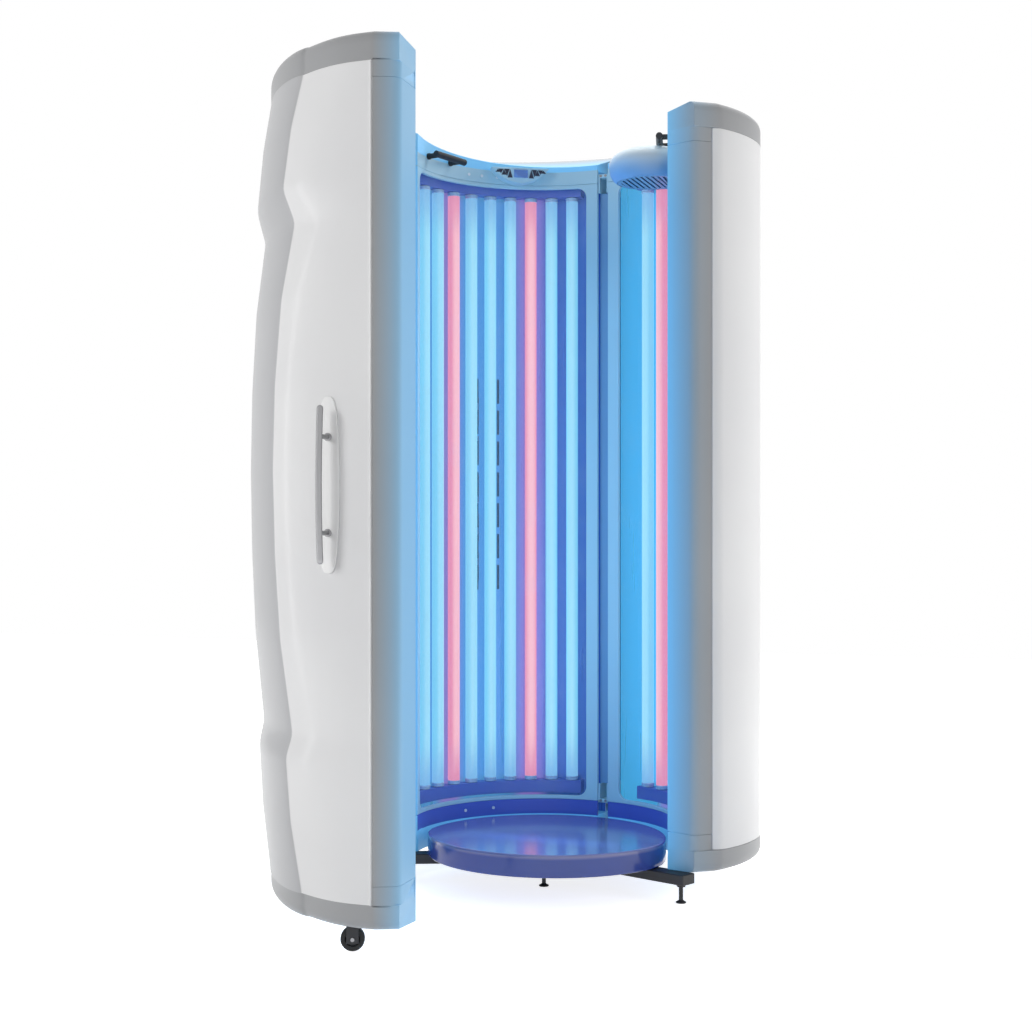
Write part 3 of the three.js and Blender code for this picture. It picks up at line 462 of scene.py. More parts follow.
def addCaps(name, body, move, outer, inner, stubs, glow, slope=0.0):
    # blocks with a quarter-round outer edge; the top one's inner edge lies lower and falls towards the back
    turn = np.radians(np.linspace(0, 90, 9))
    inset = np.r_[0, booth.capRound * (1 - np.cos(turn))]
    edge = alongPath(inner[::-1], pathShares(outer))
    fall = booth.rimDrop + slope * (edge[:, 1] - edge[0, 1])
    for part, flat, far, end, drop in (("bottom", "panelLow", "underside", "pillarLow", 0 * fall),
                                       ("top", "panelTop", "top", "pillarTop", fall)):
        flatZ, farZ = heights[flat], heights[far]
        up = np.sign(farZ - flatZ)
        outerZ = np.r_[flatZ, farZ - up * booth.capRound * (1 - np.sin(turn))]
        rows = [np.c_[offsetPath(outer, -d), np.full(len(outer), z)] for d, z in zip(inset, outerZ)]
        rows += [np.c_[edge, farZ - up * drop], np.c_[edge, np.full(len(edge), flatZ)]]
        cap = Shape().grid(np.swapaxes(rows, 0, 1))
        for stub in stubs:
            cap.lift(stub, *sorted([heights[end], flatZ + up * booth.capSink]))
        addPiece(f"{name}_{part}Cap", cap, "post", f"{name}_{part}_cap", move, softEdge.cap,
                 tint=("paintedLampGlow", glow), body=body)


def addPost(name, node, body, move, loop, glow):
    # pillar between the stubs of the two caps
    addPiece(name, Shape().lift(loop, *pillarSpan), "post", node, move, softEdge.post,
             tint=("paintedLampGlow", glow), body=body)


def addBorder(name, body, move, radius, start, end, left, right, centreY=0.0):
    # curved sheet round a window: the window's rounded outline is paired with the sheet's own edge
    (low, high), rail, corner = pillarSpan, booth.rail, booth.windowRound
    a0, a1 = start + np.degrees(left / radius), end - np.degrees(right / radius)
    z0, z1 = low + rail, high - rail
    bend = np.degrees(corner / radius)

    def turnCorner(ca, cz, first, width):  # quarter circle, and where its rays meet the sheet's edge
        tall = rail + corner
        exact = np.degrees(np.arctan2(tall, width))
        toCorner = exact if first in (0, 180) else 90 - exact
        t = np.radians(first + np.sort(np.r_[np.linspace(0, 90, 9), toCorner]))
        way = np.c_[np.cos(t), np.sin(t)]
        reach = np.minimum(width / np.maximum(abs(way[:, 0]), tiny), tall / np.maximum(abs(way[:, 1]), tiny))
        hole = np.c_[ca + bend * way[:, 0], cz + corner * way[:, 1]]
        return hole, np.c_[ca + np.degrees(reach * way[:, 0] / radius), cz + reach * way[:, 1]]

    def onSheet(outline, r):  # (angle, height) bent round the axis
        return np.c_[onCircle(r, outline[:, 0], centreY), outline[:, 1]]

    spread = np.linspace(a0 + bend, a1 - bend, max(4, int((a1 - a0) / arcStep)))[1:-1]
    level = lambda turns, z: np.c_[turns, np.full_like(turns, z)]
    runs = [turnCorner(a1 - bend, z1 - corner, 0, right + corner),
            (level(spread[::-1], z1), level(spread[::-1], high)),
            turnCorner(a0 + bend, z1 - corner, 90, left + corner),
            turnCorner(a0 + bend, z0 + corner, 180, left + corner),
            (level(spread, z0), level(spread, low)),
            turnCorner(a1 - bend, z0 + corner, 270, right + corner)]
    hole, rim = (np.vstack([run[i] for run in runs]) for i in (0, 1))
    back = radius + booth.frameWall
    loops = [onSheet(rim, radius), onSheet(hole, radius), onSheet(hole, back), onSheet(rim, back)]
    addPiece(f"{name}_border", Shape().grid(loops + loops[:1], ends=False), "frame",
             f"{name}_frame", move, softEdge.cap, body=body)


def addPane(name, body, move, radius, start, end, centreY=0.0):
    # clear curved sheet behind the window
    loop = strip(arcPath(radius, start, end, centreY), booth.paneWall)
    addPiece(f"{name}_pane", Shape().lift(loop, *panelSpan), "clear", f"{name}_acrylic", move,
             body=body)


def tubeRows(x, y):
    # glass between two end caps, its shoulders rounded in quarter circles
    r, low, high = lamps.radius, heights.lampLow + seat, heights.lampTop - seat
    grow = np.linspace(lamps.shoulderFrom, np.pi / 2, 5)
    shoulder = lamps.endGap + lamps.shoulder * (1 - np.cos(grow))
    straight = np.linspace(low + lamps.straightFrom, high - lamps.straightFrom, 6)
    size = np.r_[r * np.sin(grow), np.full(len(straight), r), r * np.sin(grow[::-1])]
    return turnedRows(np.c_[size, np.r_[low + shoulder, straight, high - shoulder[::-1]]], (x, y), lamps.sides)


def tubeCaps(shape, x, y):
    # metal cap with a rolled lip over each end of a tube
    r, length = lamps.radius, lamps.capLength
    wide, bend = r + lamps.capExtra, lamps.capBend
    profile = np.array([(r - lamps.capMouth, 0.0), (wide, bend), (wide, length - 2 * bend),
                        (wide + lamps.capLip, length - bend), (r + lamps.capGrip, length)])
    for end, way in ((heights.lampLow + seat, 1), (heights.lampTop - seat, -1)):
        shape.grid(turnedRows(np.c_[profile[:, 0], end + way * profile[:, 1]], (x, y), lamps.sides))


def lampSet(name, body, move, ring, angles, pinks, centreY=0.0):
    # tubes at these angles of one circle, with their end caps and the two rails that hold them
    blue, caps, rails = Shape(), Shape(), Shape()
    spots = onCircle(ring, angles, centreY)

    def core(points):  # share of a tube's side that faces the cabin's middle
        facing = (ring - np.hypot(points[:, 0], points[:, 1] - centreY)) / lamps.radius
        return np.clip((facing - lamps.coreFrom) / lamps.coreSpan, 0, 1)

    for i, (x, y) in enumerate(spots):
        tubeCaps(caps, x, y)
        if i not in pinks:
            blue.grid(tubeRows(x, y))
    for order, i in enumerate(pinks):
        addPiece(f"{name}_pinkTube_{order + 1}", Shape().grid(tubeRows(*spots[i])), "pinkTube",
                 f"{name}_pink_lamp_{order + 1}", move, tint=("tubeCore", core), body=body)
    half = abs(angles[1] - angles[0]) / 2
    path = arcPath(ring - lamps.railHalf, min(angles) - half, max(angles) + half, centreY)
    loop = strip(path, lamps.railHalf + lamps.railBack)
    for low in (heights.lampLow - lamps.railHeight, heights.lampTop):
        rails.lift(loop, low, low + lamps.railHeight)
    addPiece(f"{name}_blueTubes", blue, "tube", f"{name}_lamp_bank", move, tint=("tubeCore", core),
             body=body)
    addPiece(f"{name}_tubeCaps", caps, "pale", move=move, body=body)
    addPiece(f"{name}_lampRails", rails, "rail", move=move, bevel=softEdge.sheet, body=body)


# Fixed half: two modules that share one plan
innerR = booth.innerR
nose, seam = np.array(booth.nose), np.array(booth.seam)
cornerAngle = math.degrees(math.asin(booth.endY / innerR))
innerCorner = onCircle(innerR, cornerAngle)
frameCorner = onCircle(innerR + booth.frameWall + seat, cornerAngle)
fixedPillar = np.vstack([
    innerCorner - (0, seat), roundCorner(innerCorner, nose, seam, booth.noseRound), seam,
    (seam[0] - booth.frameWall, seam[1] + booth.endStile), frameCorner + booth.frameWall,
    frameCorner - (0, seat)])


def jointEnd(span, radius):
    # angle at a radius where half the joint's gap is left before the joint plane
    return span - math.degrees(math.asin(booth.jointGap / 2 / radius))


def outerPath(span, count=64, tries=4000, beyond=1.1):
    # half ellipse at the back, another at the front, stopped half a gap short of the joint plane
    def curve(turn):
        rise = np.where(np.sin(turn) < 0, booth.frontRise, booth.backRise)
        return np.c_[booth.sideHalf * np.cos(turn), booth.sideY + rise * np.sin(turn)]

    first = math.asin((booth.panelEdgeY - booth.sideY) / booth.frontRise)
    tried = np.linspace(first, math.radians(span) * beyond, tries)
    reached, way = curve(tried), onCircle(1, span)
    room = way[1] * reached[:, 0] - way[0] * reached[:, 1] - booth.jointGap / 2
    return curve(np.linspace(first, tried[np.nonzero(room > 0)[0][-1]], count))


modules = {
    "rear_right": Settings(move=None, span=80, first=60.5, count=7, pinks=(1, 5), sheet=(*cyanSheet, None)),
    "rear_left": Settings(move=mirrorPlace, span=100, first=83.4, count=10, pinks=(2, 6),
                          sheet=(*blueSheet, ((1.88, 2.30), (0.10, 0.38, 0.62))))}

for name, module in modules.items():
    span, move = module.span, module.move
    side = outerPath(span)
    outer = np.vstack([nose, side])
    inner = arcPath(innerR, jointEnd(span, innerR), cornerAngle)
    rim = strip(inner[::-1], booth.capWall)
    for band, finish, low, high in (
            ("low", "rail", heights.panelLow - booth.capSink, heights.pillarLow),
            ("high", "frame", heights.pillarTop, heights.panelTop + booth.capSink)):
        addPiece(f"{name}_{band}Band", Shape().lift(rim, low, high), finish, move=move,
                 bevel=softEdge.sheet)
    addCaps(name, "cabin", move, outer, inner, [fixedPillar], cabinGlow, booth.rimSlope)
    addPost(f"{name}_post", f"{name}_pillar", "cabin", move, fixedPillar, cabinGlow)
    start = seam + (2 * seat, 0)
    edge = np.vstack([start, roundCorner(start, side[0], side[2], booth.panelRound), side[2:]])
    skin = strip(offsetPath(edge, -booth.panelWall), booth.panelWall)
    addPiece(f"{name}_shell", Shape().lift(skin, *panelSpan), "shell", f"{name}_panel", move,
             softEdge.sheet)
    addBorder(name, "cabin", move, innerR, cornerAngle, jointEnd(span, innerR), booth.endStile,
              booth.jointStile)
    paneR = innerR + booth.paneOut
    addPane(name, "cabin", move, paneR, cornerAngle + booth.paneEnd, jointEnd(span, paneR) - booth.paneJoint)
    angles = module.first - np.arange(module.count) * lamps.pitch
    lampSet(name, "cabin", move, innerR + lamps.ring, angles, module.pinks)
    pinkTurns = np.radians(angles[list(module.pinks)])
    pinkTurns = np.pi - pinkTurns if move else pinkTurns
    finishes[f"{name}_sheet"] = backSheet(f"{name}_backSheet", *module.sheet, tuple(pinkTurns.tolist()))
    dress(f"{name}_sheet", f"{name}_reflector")
print("rear modules built")

# Door: the same pieces on its own plan; swell holds millimetres by height
door = Settings(
    lip=(0.370, -0.042), insideY=-0.306, nose=(0.477, -0.093), seam=(0.471, -0.158), ridge=(0.305, -0.312),
    frontY=-0.388, power=0.7, frontShare=0.72, frontTurn=84, bow=0.026, bowOut=0.8, bowAhead=0.3,
    seamTuck=0.005, ridgeSlack=0.0005, sharp=50, stile=0.010, paneEnd=1.6, lampCount=11, pinks=(3, 7),
    levels=(0.16, 2.195, 0.012), creaseBlur=0.014, blurReach=1.5,
    swell=((0.150, 8), (0.330, 36), (0.492, 48), (0.548, 31), (0.785, 62), (1.0, 75), (1.21, 80),
           (1.42, 75), (1.635, 59), (1.83, 25), (1.91, 55), (2.07, 34), (2.2, 4)))
lip, doorNose, doorSeam, ridge = (np.array(door[key]) for key in ("lip", "nose", "seam", "ridge"))
lipRise = lip[1] - door.insideY
doorR = (lip[0] ** 2 + lipRise ** 2) / (2 * lipRise)
doorY = door.insideY + doorR
lipAngle = math.degrees(math.atan2(lip[1] - doorY, lip[0]))
lipTurn = math.degrees(booth.frameWall / doorR)
doorFrom, doorTo = 180 - lipAngle, 360 + lipAngle


def doorSkin(amount):
    # the two sides bow out from seam to ridge, the front is a flattened power curve between the ridges
    share = np.linspace(0, 1, 25)
    ease = share ** 2 * (3 - 2 * share)
    bow = door.bow * np.sin(np.pi * share)
    edge = np.c_[doorSeam[0] + (ridge[0] - doorSeam[0]) * share + bow * door.bowOut,
                 doorSeam[1] + (ridge[1] - doorSeam[1]) * share - amount * ease - bow * door.bowAhead]
    x = ridge[0] * np.sin(np.radians(np.linspace(-door.frontTurn, door.frontTurn, 57)))
    lift = (1 - (x / ridge[0]) ** 2) ** door.power
    swollen = amount * (1 - (1 - door.frontShare) * lift)
    front = np.c_[x, ridge[1] + (door.frontY - ridge[1]) * lift - swollen]
    return np.vstack([edge * (-1, 1), front, edge[::-1]])


def swellAt(z):
    # table of heights, its corners softened by a short running mean with bell-shaped weights
    table = np.array(door.swell)
    reach = np.linspace(-door.blurReach, door.blurReach, 13) * door.creaseBlur
    weight = np.exp(-(reach / door.creaseBlur) ** 2)
    spread = np.interp(np.asarray(z)[:, None] + reach, table[:, 0], table[:, 1])
    return (spread * weight).sum(1) / weight.sum() / 1000


def doorPost(way):
    # outline from the lip round the nose to the seam, and back behind the frame; way mirrors it
    back = doorR + booth.frameWall
    radii = np.array([back + booth.endStile, back + seat, doorR])
    inside = onCircle(radii, lipAngle - lipTurn * np.array([2, 1, 1]), doorY)
    loop = np.vstack([lip, roundCorner(lip, doorNose, doorSeam, booth.noseRound), doorSeam,
                      doorSeam - (booth.endStile, 0), inside])
    return loop * (way, 1)


doorInner = arcPath(doorR, doorFrom, doorTo, doorY)
capEdge = doorSkin(swellAt(np.array([heights.panelTop]))[0])
doorOuter = np.vstack([doorNose * (-1, 1), capEdge, doorNose])
doorStubs = [doorPost(1), doorPost(-1), strip(doorInner, booth.capWall)]
addCaps("door", "door", doorPlace, doorOuter, doorInner[::-1], doorStubs, doorGlow)
for part, way in (("free", 1), ("hinge", -1)):
    addPost(f"door_{part}Post", f"door_{part}_pillar", "door", doorPlace, doorPost(way), doorGlow)

ridgeX = ridge[0] - door.ridgeSlack
levels = np.r_[panelSpan[0], np.arange(*door.levels), panelSpan[1]]
skins = []
for amount in swellAt(levels):
    edge = doorSkin(amount)
    edge[[0, -1], 1] -= door.seamTuck
    skins.append(strip(offsetPath(edge, -booth.panelWall), booth.panelWall))
# the door's front between the ridges carries the painted shade grey
addPiece("door_shell", Shape().grid(stacked(skins, levels)), "shell", "door_panel", doorPlace,
         sharp=door.sharp, tint=("paintedFrontShade", lambda points: (abs(points[:, 0]) < ridgeX).astype(float)),
         body="door")
borderEnd = lipTurn + math.degrees(seat / doorR)
addBorder("door", "door", doorPlace, doorR, doorFrom + borderEnd, doorTo - borderEnd, door.stile, door.stile,
          doorY)
paneEnd = math.degrees(booth.endStile / doorR) * door.paneEnd
addPane("door", "door", doorPlace, doorR + booth.paneOut, doorFrom + paneEnd, doorTo - paneEnd, doorY)
doorRing = doorR + lamps.ring
doorPitch = lamps.pitch * (innerR + lamps.ring) / doorRing
doorAngles = 270 + (np.arange(door.lampCount) - (door.lampCount - 1) / 2) * doorPitch
lampSet("door", "door", doorPlace, doorRing, doorAngles, door.pinks, doorY)
dress("sheet", "door_reflector")
print("door built")

# Base: one flat frame of beams, the platform and four levelling feet, whose profiles are (radius, height)
stand = Settings(
    beamLow=0.0547, beamHigh=0.0847, junctionY=0.110, wide=0.056, footX=0.436, footY=-0.077, rearX=0.300,
    rearY=0.430, plateR=0.362, plateGap=0.014, studR=0.0065, studTop=0.046, thread=(0.009, 0.044, 0.0025),
    threadDeep=0.0007, sharp=40, pad=((0.0135, 0), (0.015, 0.0012), (0.015, 0.0035), (0.0085, 0.007)),
    nut=((0.0115, 0.0457), (0.013, 0.0467), (0.013, 0.0537), (0.0115, 0.0547)))
beamHalf, junction = stand.wide / 2, np.array([0.0, stand.junctionY])
footEnd = np.array([stand.footX, stand.footY])
armWay = (footEnd - junction) / np.linalg.norm(footEnd - junction)
armSide = np.array([-armWay[1], armWay[0]]) * beamHalf


def armEdge(offset, x):
    # point of an arm's edge, half a beam above or below its axis, at a distance from the middle
    return junction + armSide * offset + armWay * ((x - junction[0] - armSide[0] * offset) / armWay[0])


armEnd = footEnd + armWay * beamHalf
rightBeams = np.vstack([
    (beamHalf, -beamHalf), armEdge(-1, beamHalf), armEnd - armSide, armEnd + armSide, armEdge(1, beamHalf),
    (beamHalf, stand.rearY - beamHalf), (stand.rearX, stand.rearY - beamHalf),
    (stand.rearX, stand.rearY + beamHalf)])
beams = np.vstack([rightBeams, rightBeams[::-1] * (-1, 1)])
addPiece("base_beams", Shape().lift(beams, stand.beamLow, stand.beamHigh), "black", "base_frame",
         bevel=softEdge.beam, turns=3)
plateFront = arcPath(doorR - stand.plateGap, doorFrom, doorTo, doorY)
plateLoop = np.vstack([arcPath(stand.plateR, 0, 180), plateFront[plateFront[:, 1] < lip[1]]])
addPiece("base_plate", Shape().lift(plateLoop, heights.underside, heights.panelLow), "plate",
         "base_platform", bevel=softEdge.plate, turns=4)
rings = np.arange(*stand.thread)
thread = np.c_[stand.studR - stand.threadDeep * (np.arange(len(rings)) % 2), rings]
stud = np.vstack([stand.pad, thread, (stand.studR, stand.studTop)])
for foot, at in {"front_right": (stand.footX, stand.footY), "front_left": (-stand.footX, stand.footY),
                 "rear": (0, stand.rearY), "centre": (0, 0)}.items():
    shape = Shape().grid(turnedRows(stud, at, 24)).grid(turnedRows(stand.nut, at, 6))
    addPiece(f"foot_{foot}", shape, "black", f"levelling_foot_{foot}", sharp=stand.sharp)
print("base built")

# Rear joint: a recessed strip between the modules, with a forked bracket at each end
joint = Settings(
    half=0.0177, wall=0.006, near=0.3945, far=0.4455, tall=0.060, bar=0.012,
    barRise={"top": 0.048, "bottom": 0.0}, screwR=0.0042, screwX=0.008, screwOut=0.0015, screwIn=0.004)
jointPlace = turnedBy(booth.jointAngle - 90)
for part, low in (("top", heights.lampTop + seat), ("bottom", heights.lampLow - joint.tall + seat)):
    fork, screws = Shape(), Shape()
    barLow = low + joint.barRise[part]
    for way in (-1, 1):
        x0, x1 = sorted([way * joint.half, way * (joint.half - joint.wall)])
        slab(fork, (x0, joint.near, low), (x1, joint.far, low + joint.tall - 2 * seat))
        at = np.array([way * joint.screwX, joint.near, barLow + joint.bar / 2])
        screws.grid(roundedRod(at - (0, joint.screwOut, 0), at + (0, joint.screwIn, 0), joint.screwR, 14))
    slab(fork, (-joint.half, joint.near, barLow), (joint.half, joint.far, barLow + joint.bar - 2 * seat))
    addPiece(f"joint_{part}Fork", fork, "frame", f"rear_joint_{part}_bracket", jointPlace,
             softEdge.sheet)
    addPiece(f"joint_{part}Screws", screws, "steel", move=jointPlace)

# Screws on the rim bands, and rows of vent slots in the left back sheet
rimScrews = Settings(rows=((2.181, (146, 139, 131)), (0.172, (148, 133))), near=0.3875, far=0.392, r=0.0048)
vents = Settings(
    angles=(127.2, 136.0, 144.7), low=0.865, count=7, pitch=0.100, tall=0.078, half=0.38, ring=0.4632,
    deep=0.0012)
dots, slots = Shape(), Shape()
for z, turns in rimScrews.rows:
    for angle in turns:
        ends = [(*onCircle(rimScrews[key], angle), z) for key in ("near", "far")]
        dots.grid(roundedRod(*ends, rimScrews.r, 14))
# each vent slot is a thin near-black strip: painted shade of the slot's opening
for angle in vents.angles:
    loop = strip(arcPath(vents.ring, angle - vents.half, angle + vents.half), vents.deep)
    for low in vents.low + np.arange(vents.count) * vents.pitch:
        slots.lift(loop, low, low + vents.tall)
addPiece("rim_screws", dots, "shell")
addPiece("vent_slots", slots, "dark")

# Grab bars: a round bar on two posts, each with a flange at the wall
grip = Settings(
    angles={"right": 14, "left": 166}, reach=0.342, half=0.075, r=0.010, postY=0.0563, postR=0.008, wall=0.3845,
    z=2.204, flange=0.006, flangeR=0.0098, flangeBall=0.3)
for hand, angle in grip.angles.items():
    gripAt = lambda x, y: (x, y, grip.z)
    shape = Shape().grid(roundedRod(gripAt(grip.reach, -grip.half), gripAt(grip.reach, grip.half), grip.r))
    for y in (-grip.postY, grip.postY):
        atWall = gripAt(grip.wall, y)
        shape.grid(roundedRod(gripAt(grip.reach, y), atWall, grip.postR))
        shape.grid(roundedRod(gripAt(grip.wall - grip.flange, y), atWall, grip.flangeR, ball=grip.flangeBall))
    addPiece(f"grip_{hand}", shape, "black", f"{hand}_grip", turnedBy(angle))

# Console: a shallow hull under the rim, with dark triangular cells on both sides of its screen; their
# near-black is painted shade of openings
console = Settings(
    angle=121, half=0.092, low=2.156, high=2.206, front=0.3403, wall=0.3880, bendShare=0.7, bendRise=0.006,
    middleDrop=0.018, leastDeep=0.006, rows=((0.955, 0.0), (0.99, 0.0012), (1, 0.003)))
cell = Settings(
    count=5, first=0.0345, pitch=0.0098, half=0.0082, start=0.030, low=2.1715, lowSlope=0.42, high=2.2008,
    highSlope=0.03, deep=(-0.0008, 0.001))
rightSide = quadCurve(np.array([0, console.low]),
                      np.array([console.half * console.bendShare, console.low + console.bendRise]),
                      np.array([console.half, console.high]), 13)
hull = np.vstack([rightSide, (rightSide * (-1, 1))[:0:-1]])
hullMiddle = np.array([0, console.high - console.middleDrop])
hullRows = [upright(hullMiddle + (hull - hullMiddle) * grow, console.front + deep)
            for grow, deep in console.rows]
wallAt = np.sqrt(console.wall ** 2 - hull[:, 0] ** 2)
hullRows.append(upright(hull, np.maximum(wallAt, console.front + console.leastDeep)))
consolePlace = turnedBy(console.angle - 90)
addPiece("console_hull", Shape().grid(hullRows), "frame", "console_housing", consolePlace)
# the cells' near-black is painted shade of the grille openings
cells = Shape()
for way in (-1, 1):
    for i in range(cell.count):
        x = cell.first + i * cell.pitch
        low = cell.low + (x - cell.start) * cell.lowSlope
        high = cell.high - (x - cell.start) * cell.highSlope
        flat, tip = (high, low) if i % 2 else (low, high)
        corners = np.array([(x - cell.half, flat), (x + cell.half, flat), (x, tip)]) * (way, 1)
        cells.grid([upright(corners, console.front + deep) for deep in cell.deep])
addPiece("console_cells", cells, "dark", move=consolePlace)
dress("screen", "console_display")

# Fan pod: a flattened dome whose back follows the wall, over a ring of slats
pod = Settings(
    ring=0.318, angle=19, r=0.125, low=2.088, high=2.188, domeTall=0.052, domePower=0.62,
    skirt=((0.1235, 0.034), (0.1195, 0.020), (0.113, 0.009), (0.106, 0.0025), (0.101, 0.0)), wall=0.004,
    innerShare=0.965, innerGap=0.001, back=0.3881)
slats = Settings(
    outR=0.100, inR=0.088, low=2.0885, high=2.0915, barLow=2.089, barHalf=0.0045, barReach=0.090, pitch=0.016,
    each=5, back=0.3835)
podAt = onCircle(pod.ring, pod.angle)
domeTurn = np.radians(np.linspace(90, 0, 12))
dome = np.c_[pod.r * np.cos(domeTurn) ** pod.domePower, pod.high - pod.domeTall * (1 - np.sin(domeTurn))]
skirt = np.array(pod.skirt) + (0, pod.low)
podOuter = np.vstack([dome, skirt])
podInner = np.vstack([skirt[-2::-1] - (pod.wall, 0), dome[::-1] * (pod.innerShare, 1) - (0, pod.wall)])
podRows = turnedRows(np.vstack([podOuter, podInner]), podAt, 64)
spoke = podRows[:, :, :2] - podAt
length = np.maximum(np.linalg.norm(spoke, axis=2), tiny)
ahead = (spoke * podAt).sum(2) / length
room = -ahead + np.sqrt(ahead ** 2 + pod.back ** 2 - pod.ring ** 2)
gap = np.r_[np.zeros(len(podOuter)), np.full(len(podInner), pod.innerGap)][:, None]
podRows[:, :, :2] = podAt + spoke * np.minimum(1, (room - gap) / length)[:, :, None]
addPiece("fan_dome", Shape().grid(podRows, ends=False), "pod", "fan_pod")
outR, inR, low, high = (slats[key] for key in ("outR", "inR", "low", "high"))
grille = Shape().grid(turnedRows([(outR, low), (outR, high), (inR, high), (inR, low), (outR, low)], podAt, 48),
                      ends=False)
for offset in np.arange(-slats.each, slats.each + 1) * slats.pitch:
    x, reach = podAt[0] + offset, math.sqrt(slats.barReach ** 2 - offset ** 2)
    slab(grille, (x - slats.barHalf, podAt[1] - reach, slats.barLow),
         (x + slats.barHalf, podAt[1] + reach, high))
slatPoints = np.vstack(grille.points)
slatPoints[:, :2] *= np.minimum(1, slats.back / np.hypot(slatPoints[:, 0], slatPoints[:, 1]))[:, None]
grille.points = [slatPoints]
addPiece("fan_slats", grille, "recess", "fan_grille")
dress("dark", "fan_motor", "fan_rotor")

# Door handle: a slightly bowed bar with round ends, on two posts over an oval plate
handle = Settings(
    x=-0.2178, z=1.170, back=-1.0032, face=-1.0083, barY=-1.0586, half=0.1925, r=0.008, bow=0.008,
    endClose=0.96, postZ=0.117, postR=0.006, postOut=0.046,
    collar=((0.0, 0.010), (0.003, 0.010), (0.004, 0.007)), plateHalf=(0.029, 0.216), plateX=0.6, plateZ=0.85,
    plateEase=0.14, plateRim=((1, 0.0015), (0.97, 0.0004), (0.93, 0.0)))
handleAt = np.array([handle.x, handle.z])
ovalTurn = roundTurn(72)
power = lambda wave, share: np.sign(wave) * abs(wave) ** share
oval = np.c_[power(np.cos(ovalTurn), handle.plateX), power(np.sin(ovalTurn), handle.plateZ)]
oval *= handle.plateHalf
plateRows = [upright(handleAt + oval, handle.back)]
plateRows += [upright(handleAt + oval * (grow, 1 - (1 - grow) * handle.plateEase), handle.face + deep)
              for grow, deep in handle.plateRim]
addPiece("handle_oval", Shape().grid(plateRows), "gloss", "handle_plate", body="door")
barShare = np.sin(np.linspace(-np.pi / 2, np.pi / 2, 41))
barPath = np.c_[np.full(len(barShare), handle.x), handle.barY + handle.bow * barShare ** 2,
                handle.z + handle.half * barShare]
ballShare = handle.r / handle.half
intoBall = np.clip((abs(barShare) - 1 + ballShare) / ballShare, 0, 1)
handleBar = Shape().grid(sweptRows(barPath, handle.r * np.sqrt(1 - handle.endClose * intoBall ** 2), 20))
for rise in (-handle.postZ, handle.postZ):
    root = np.array([handle.x, handle.face, handle.z + rise])
    handleBar.grid(sweptRows([root, root - (0, handle.postOut, 0)], handle.postR))
    out, radii = np.transpose(handle.collar)
    handleBar.grid(sweptRows(root - out[:, None] * (0, 1, 0), radii, 18))
addPiece("handle_rail", handleBar, "steel", "handle_bar", body="door")

# Caster: tyre and hub about a level axle, in the solid fork; hub profile is (radius, place along the axle)
caster = Settings(
    at=(-0.217981, -0.86544, 0.031), turn=-68.145, r=0.031, half=0.012, treadR=0.005, treadHalf=0.007,
    rimR=0.019, seatR=0.018, seatHalf=0.009,
    hub=((0.0054, 0.011), (0.009, 0.011), (0.011, 0.006), (0.0165, 0.006), (0.0183, 0.0095)))
axle = np.array([*onCircle(1, caster.turn), 0])
beside = np.array([-axle[1], axle[0], 0])


def aboutAxle(profile, sides=40):
    # (radius, place along the axle) carried round the axle, closed on itself
    turn = roundTurn(sides)
    spokes = np.cos(turn)[:, None] * beside + np.sin(turn)[:, None] * np.array([0, 0, 1])
    profile = np.vstack([profile, profile[:1]])
    return np.array(caster.at) + profile[:, None, :1] * spokes[None] + profile[:, None, 1:] * axle


bulge = np.radians(np.linspace(-90, 90, 11))
tread = np.c_[caster.r - caster.treadR + caster.treadR * np.cos(bulge),
              np.sign(bulge) * caster.treadHalf + caster.treadR * np.sin(bulge)]
tyre = np.vstack([(caster.rimR, -caster.half), tread, (caster.rimR, caster.half),
                  (caster.seatR, caster.seatHalf), (caster.seatR, -caster.seatHalf)])
hubHalf = np.array(caster.hub)
hub = np.vstack([hubHalf * (1, -1), hubHalf[::-1]])
addPiece("caster_tyre", Shape().grid(aboutAxle(tyre), ends=False), "rubber", "caster_wheel",
         body="wheel")
addPiece("caster_hub", Shape().grid(aboutAxle(hub), ends=False), "black", body="wheel")

dress("recess", "rear_joint_channel")
dress("black", "caster_fork")
dress("steel", "caster_axle", "lower_hinge_pin_bracket", "upper_hinge_pin_bracket",
      "lower_hinge_door_bracket", "upper_hinge_door_bracket")
print("small pieces built")

# Camera, light and floor
view = Settings(at=(1.558, -4.648, 1.0725), turn=19.5, lens=57.56, sensor=36, shiftY=0.0126)
camera = bpy.data.objects.new("camera", bpy.data.cameras.new("camera"))
camera.location = view.at
camera.rotation_euler = (math.radians(90), 0, math.radians(view.turn))
camera.data.lens, camera.data.sensor_width, camera.data.sensor_fit = view.lens, view.sensor, "HORIZONTAL"
camera.data.shift_y = view.shiftY
scene.collection.objects.link(camera)
scene.camera = camera


def lightTurn(way):
    # tilt from straight down by atan2(level length, -z), then turn by atan2(x, -y) + half a turn
    return (math.atan2(math.hypot(way[0], way[1]), -way[2]), 0, math.atan2(way[0], -way[1]) + math.pi)


def addLight(name, place, aim, power, size, colour=(1, 1, 1), tall=None, hidden=True):
    # area light at a place, turned to its aim; hidden keeps it out of reflections
    lamp = bpy.data.objects.new(name, bpy.data.lights.new(name, "AREA"))
    lamp.data.energy, lamp.data.size, lamp.data.color = power, size, colour
    if tall:
        lamp.data.shape, lamp.data.size_y = "RECTANGLE", tall
    lamp.visible_camera, lamp.visible_glossy, lamp.visible_transmission = False, not hidden, False
    lamp.location = place
    lamp.rotation_euler = lightTurn(np.array(aim) - np.array(place))
    scene.collection.objects.link(lamp)


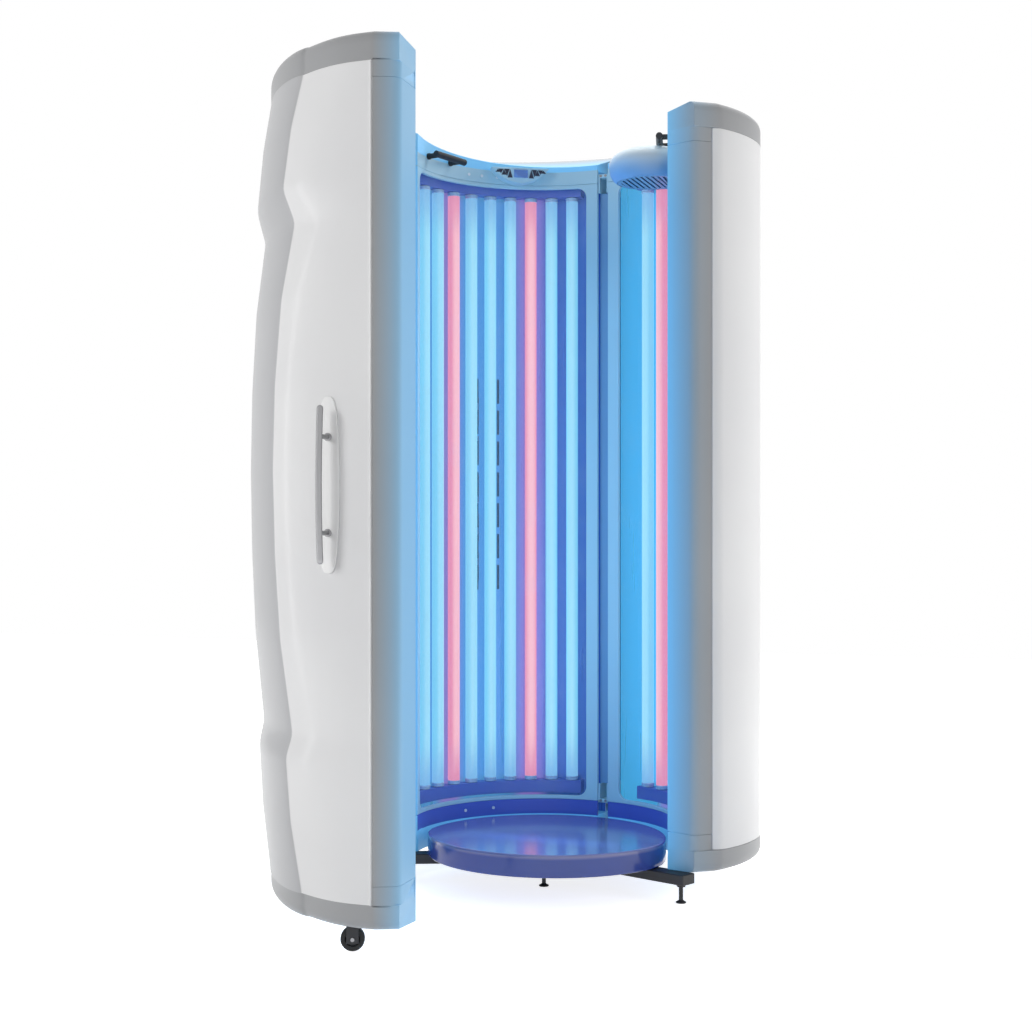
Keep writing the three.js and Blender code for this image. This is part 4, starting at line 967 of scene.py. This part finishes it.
tubeGlow = (0.24, 0.60, 1.0)
addLight("frontKey", (-2.5, -5.6, 2.7), (-0.2, -0.6, 1.15), power=126, size=2.0)
addLight("rightRim", (3.9, 2.5, 2.0), (0.5, 0.1, 1.15), power=84, size=3.0)
addLight("rightFill", (4.4, -1.2, 2.0), (0.5, 0.0, 1.1), power=42, size=2.0)
addLight("leftStrip", (-2.96, -2.2, 1.3), (-0.2, -1.0, 1.2), power=11, size=0.3, tall=2.8, hidden=False)
addLight("overhead", (0.0, 0.9, 4.1), (0.0, 0.45, 2.25), power=60, size=1.2)
addLight("backGlow", (0.0, -0.12, 1.15), (0.05, 0.4, 1.15), power=3.5, size=0.4, colour=tubeGlow, tall=1.9)
addLight("mouthGlow", (0.02, 0.0, 1.15), (-0.06, -0.90, 1.15), power=7, size=0.5, colour=tubeGlow, tall=1.9)

studio = Settings(ambient=0.2, floorHalf=9, floorZ=-0.001, fade=(1.0, 2.6), near=(0.8, 0.8, 0.8))
world = bpy.data.worlds.new("studio")
scene.world = world
world.use_nodes = True
sky = NodeTree(world.node_tree, "Background")
sky.feed("Color", (1, 1, 1, 1))
sky.feed("Strength", studio.ambient + sky.seenRay() * (1 - studio.ambient))

floorMesh = bpy.data.meshes.new("floor")
floorMesh.from_pydata([(x * studio.floorHalf, y * studio.floorHalf, studio.floorZ)
                       for x, y in ((-1, -1), (1, -1), (1, 1), (-1, 1))], [], [(0, 1, 2, 3)])
floor = bpy.data.objects.new("floor", floorMesh)
scene.collection.objects.link(floor)
paper = Finish("paleFloor", Base_Color=(0.9, 0.9, 0.9, 1), Roughness=0.9, Emission_Strength=1.0)
distance = paper.node("ShaderNodeVectorMath", {"operation": "LENGTH"}, {0: paper.spot()}, "Value")
seen = paper.blend(paper.rise(distance, *studio.fade), studio.near, (1, 1, 1))
paper.feed("Emission Color", paper.blend(paper.seenRay(), (0, 0, 0), seen))
floorMesh.materials.append(paper.material)
print("camera, light and floor ready")

scene.view_settings.view_transform = "Standard"
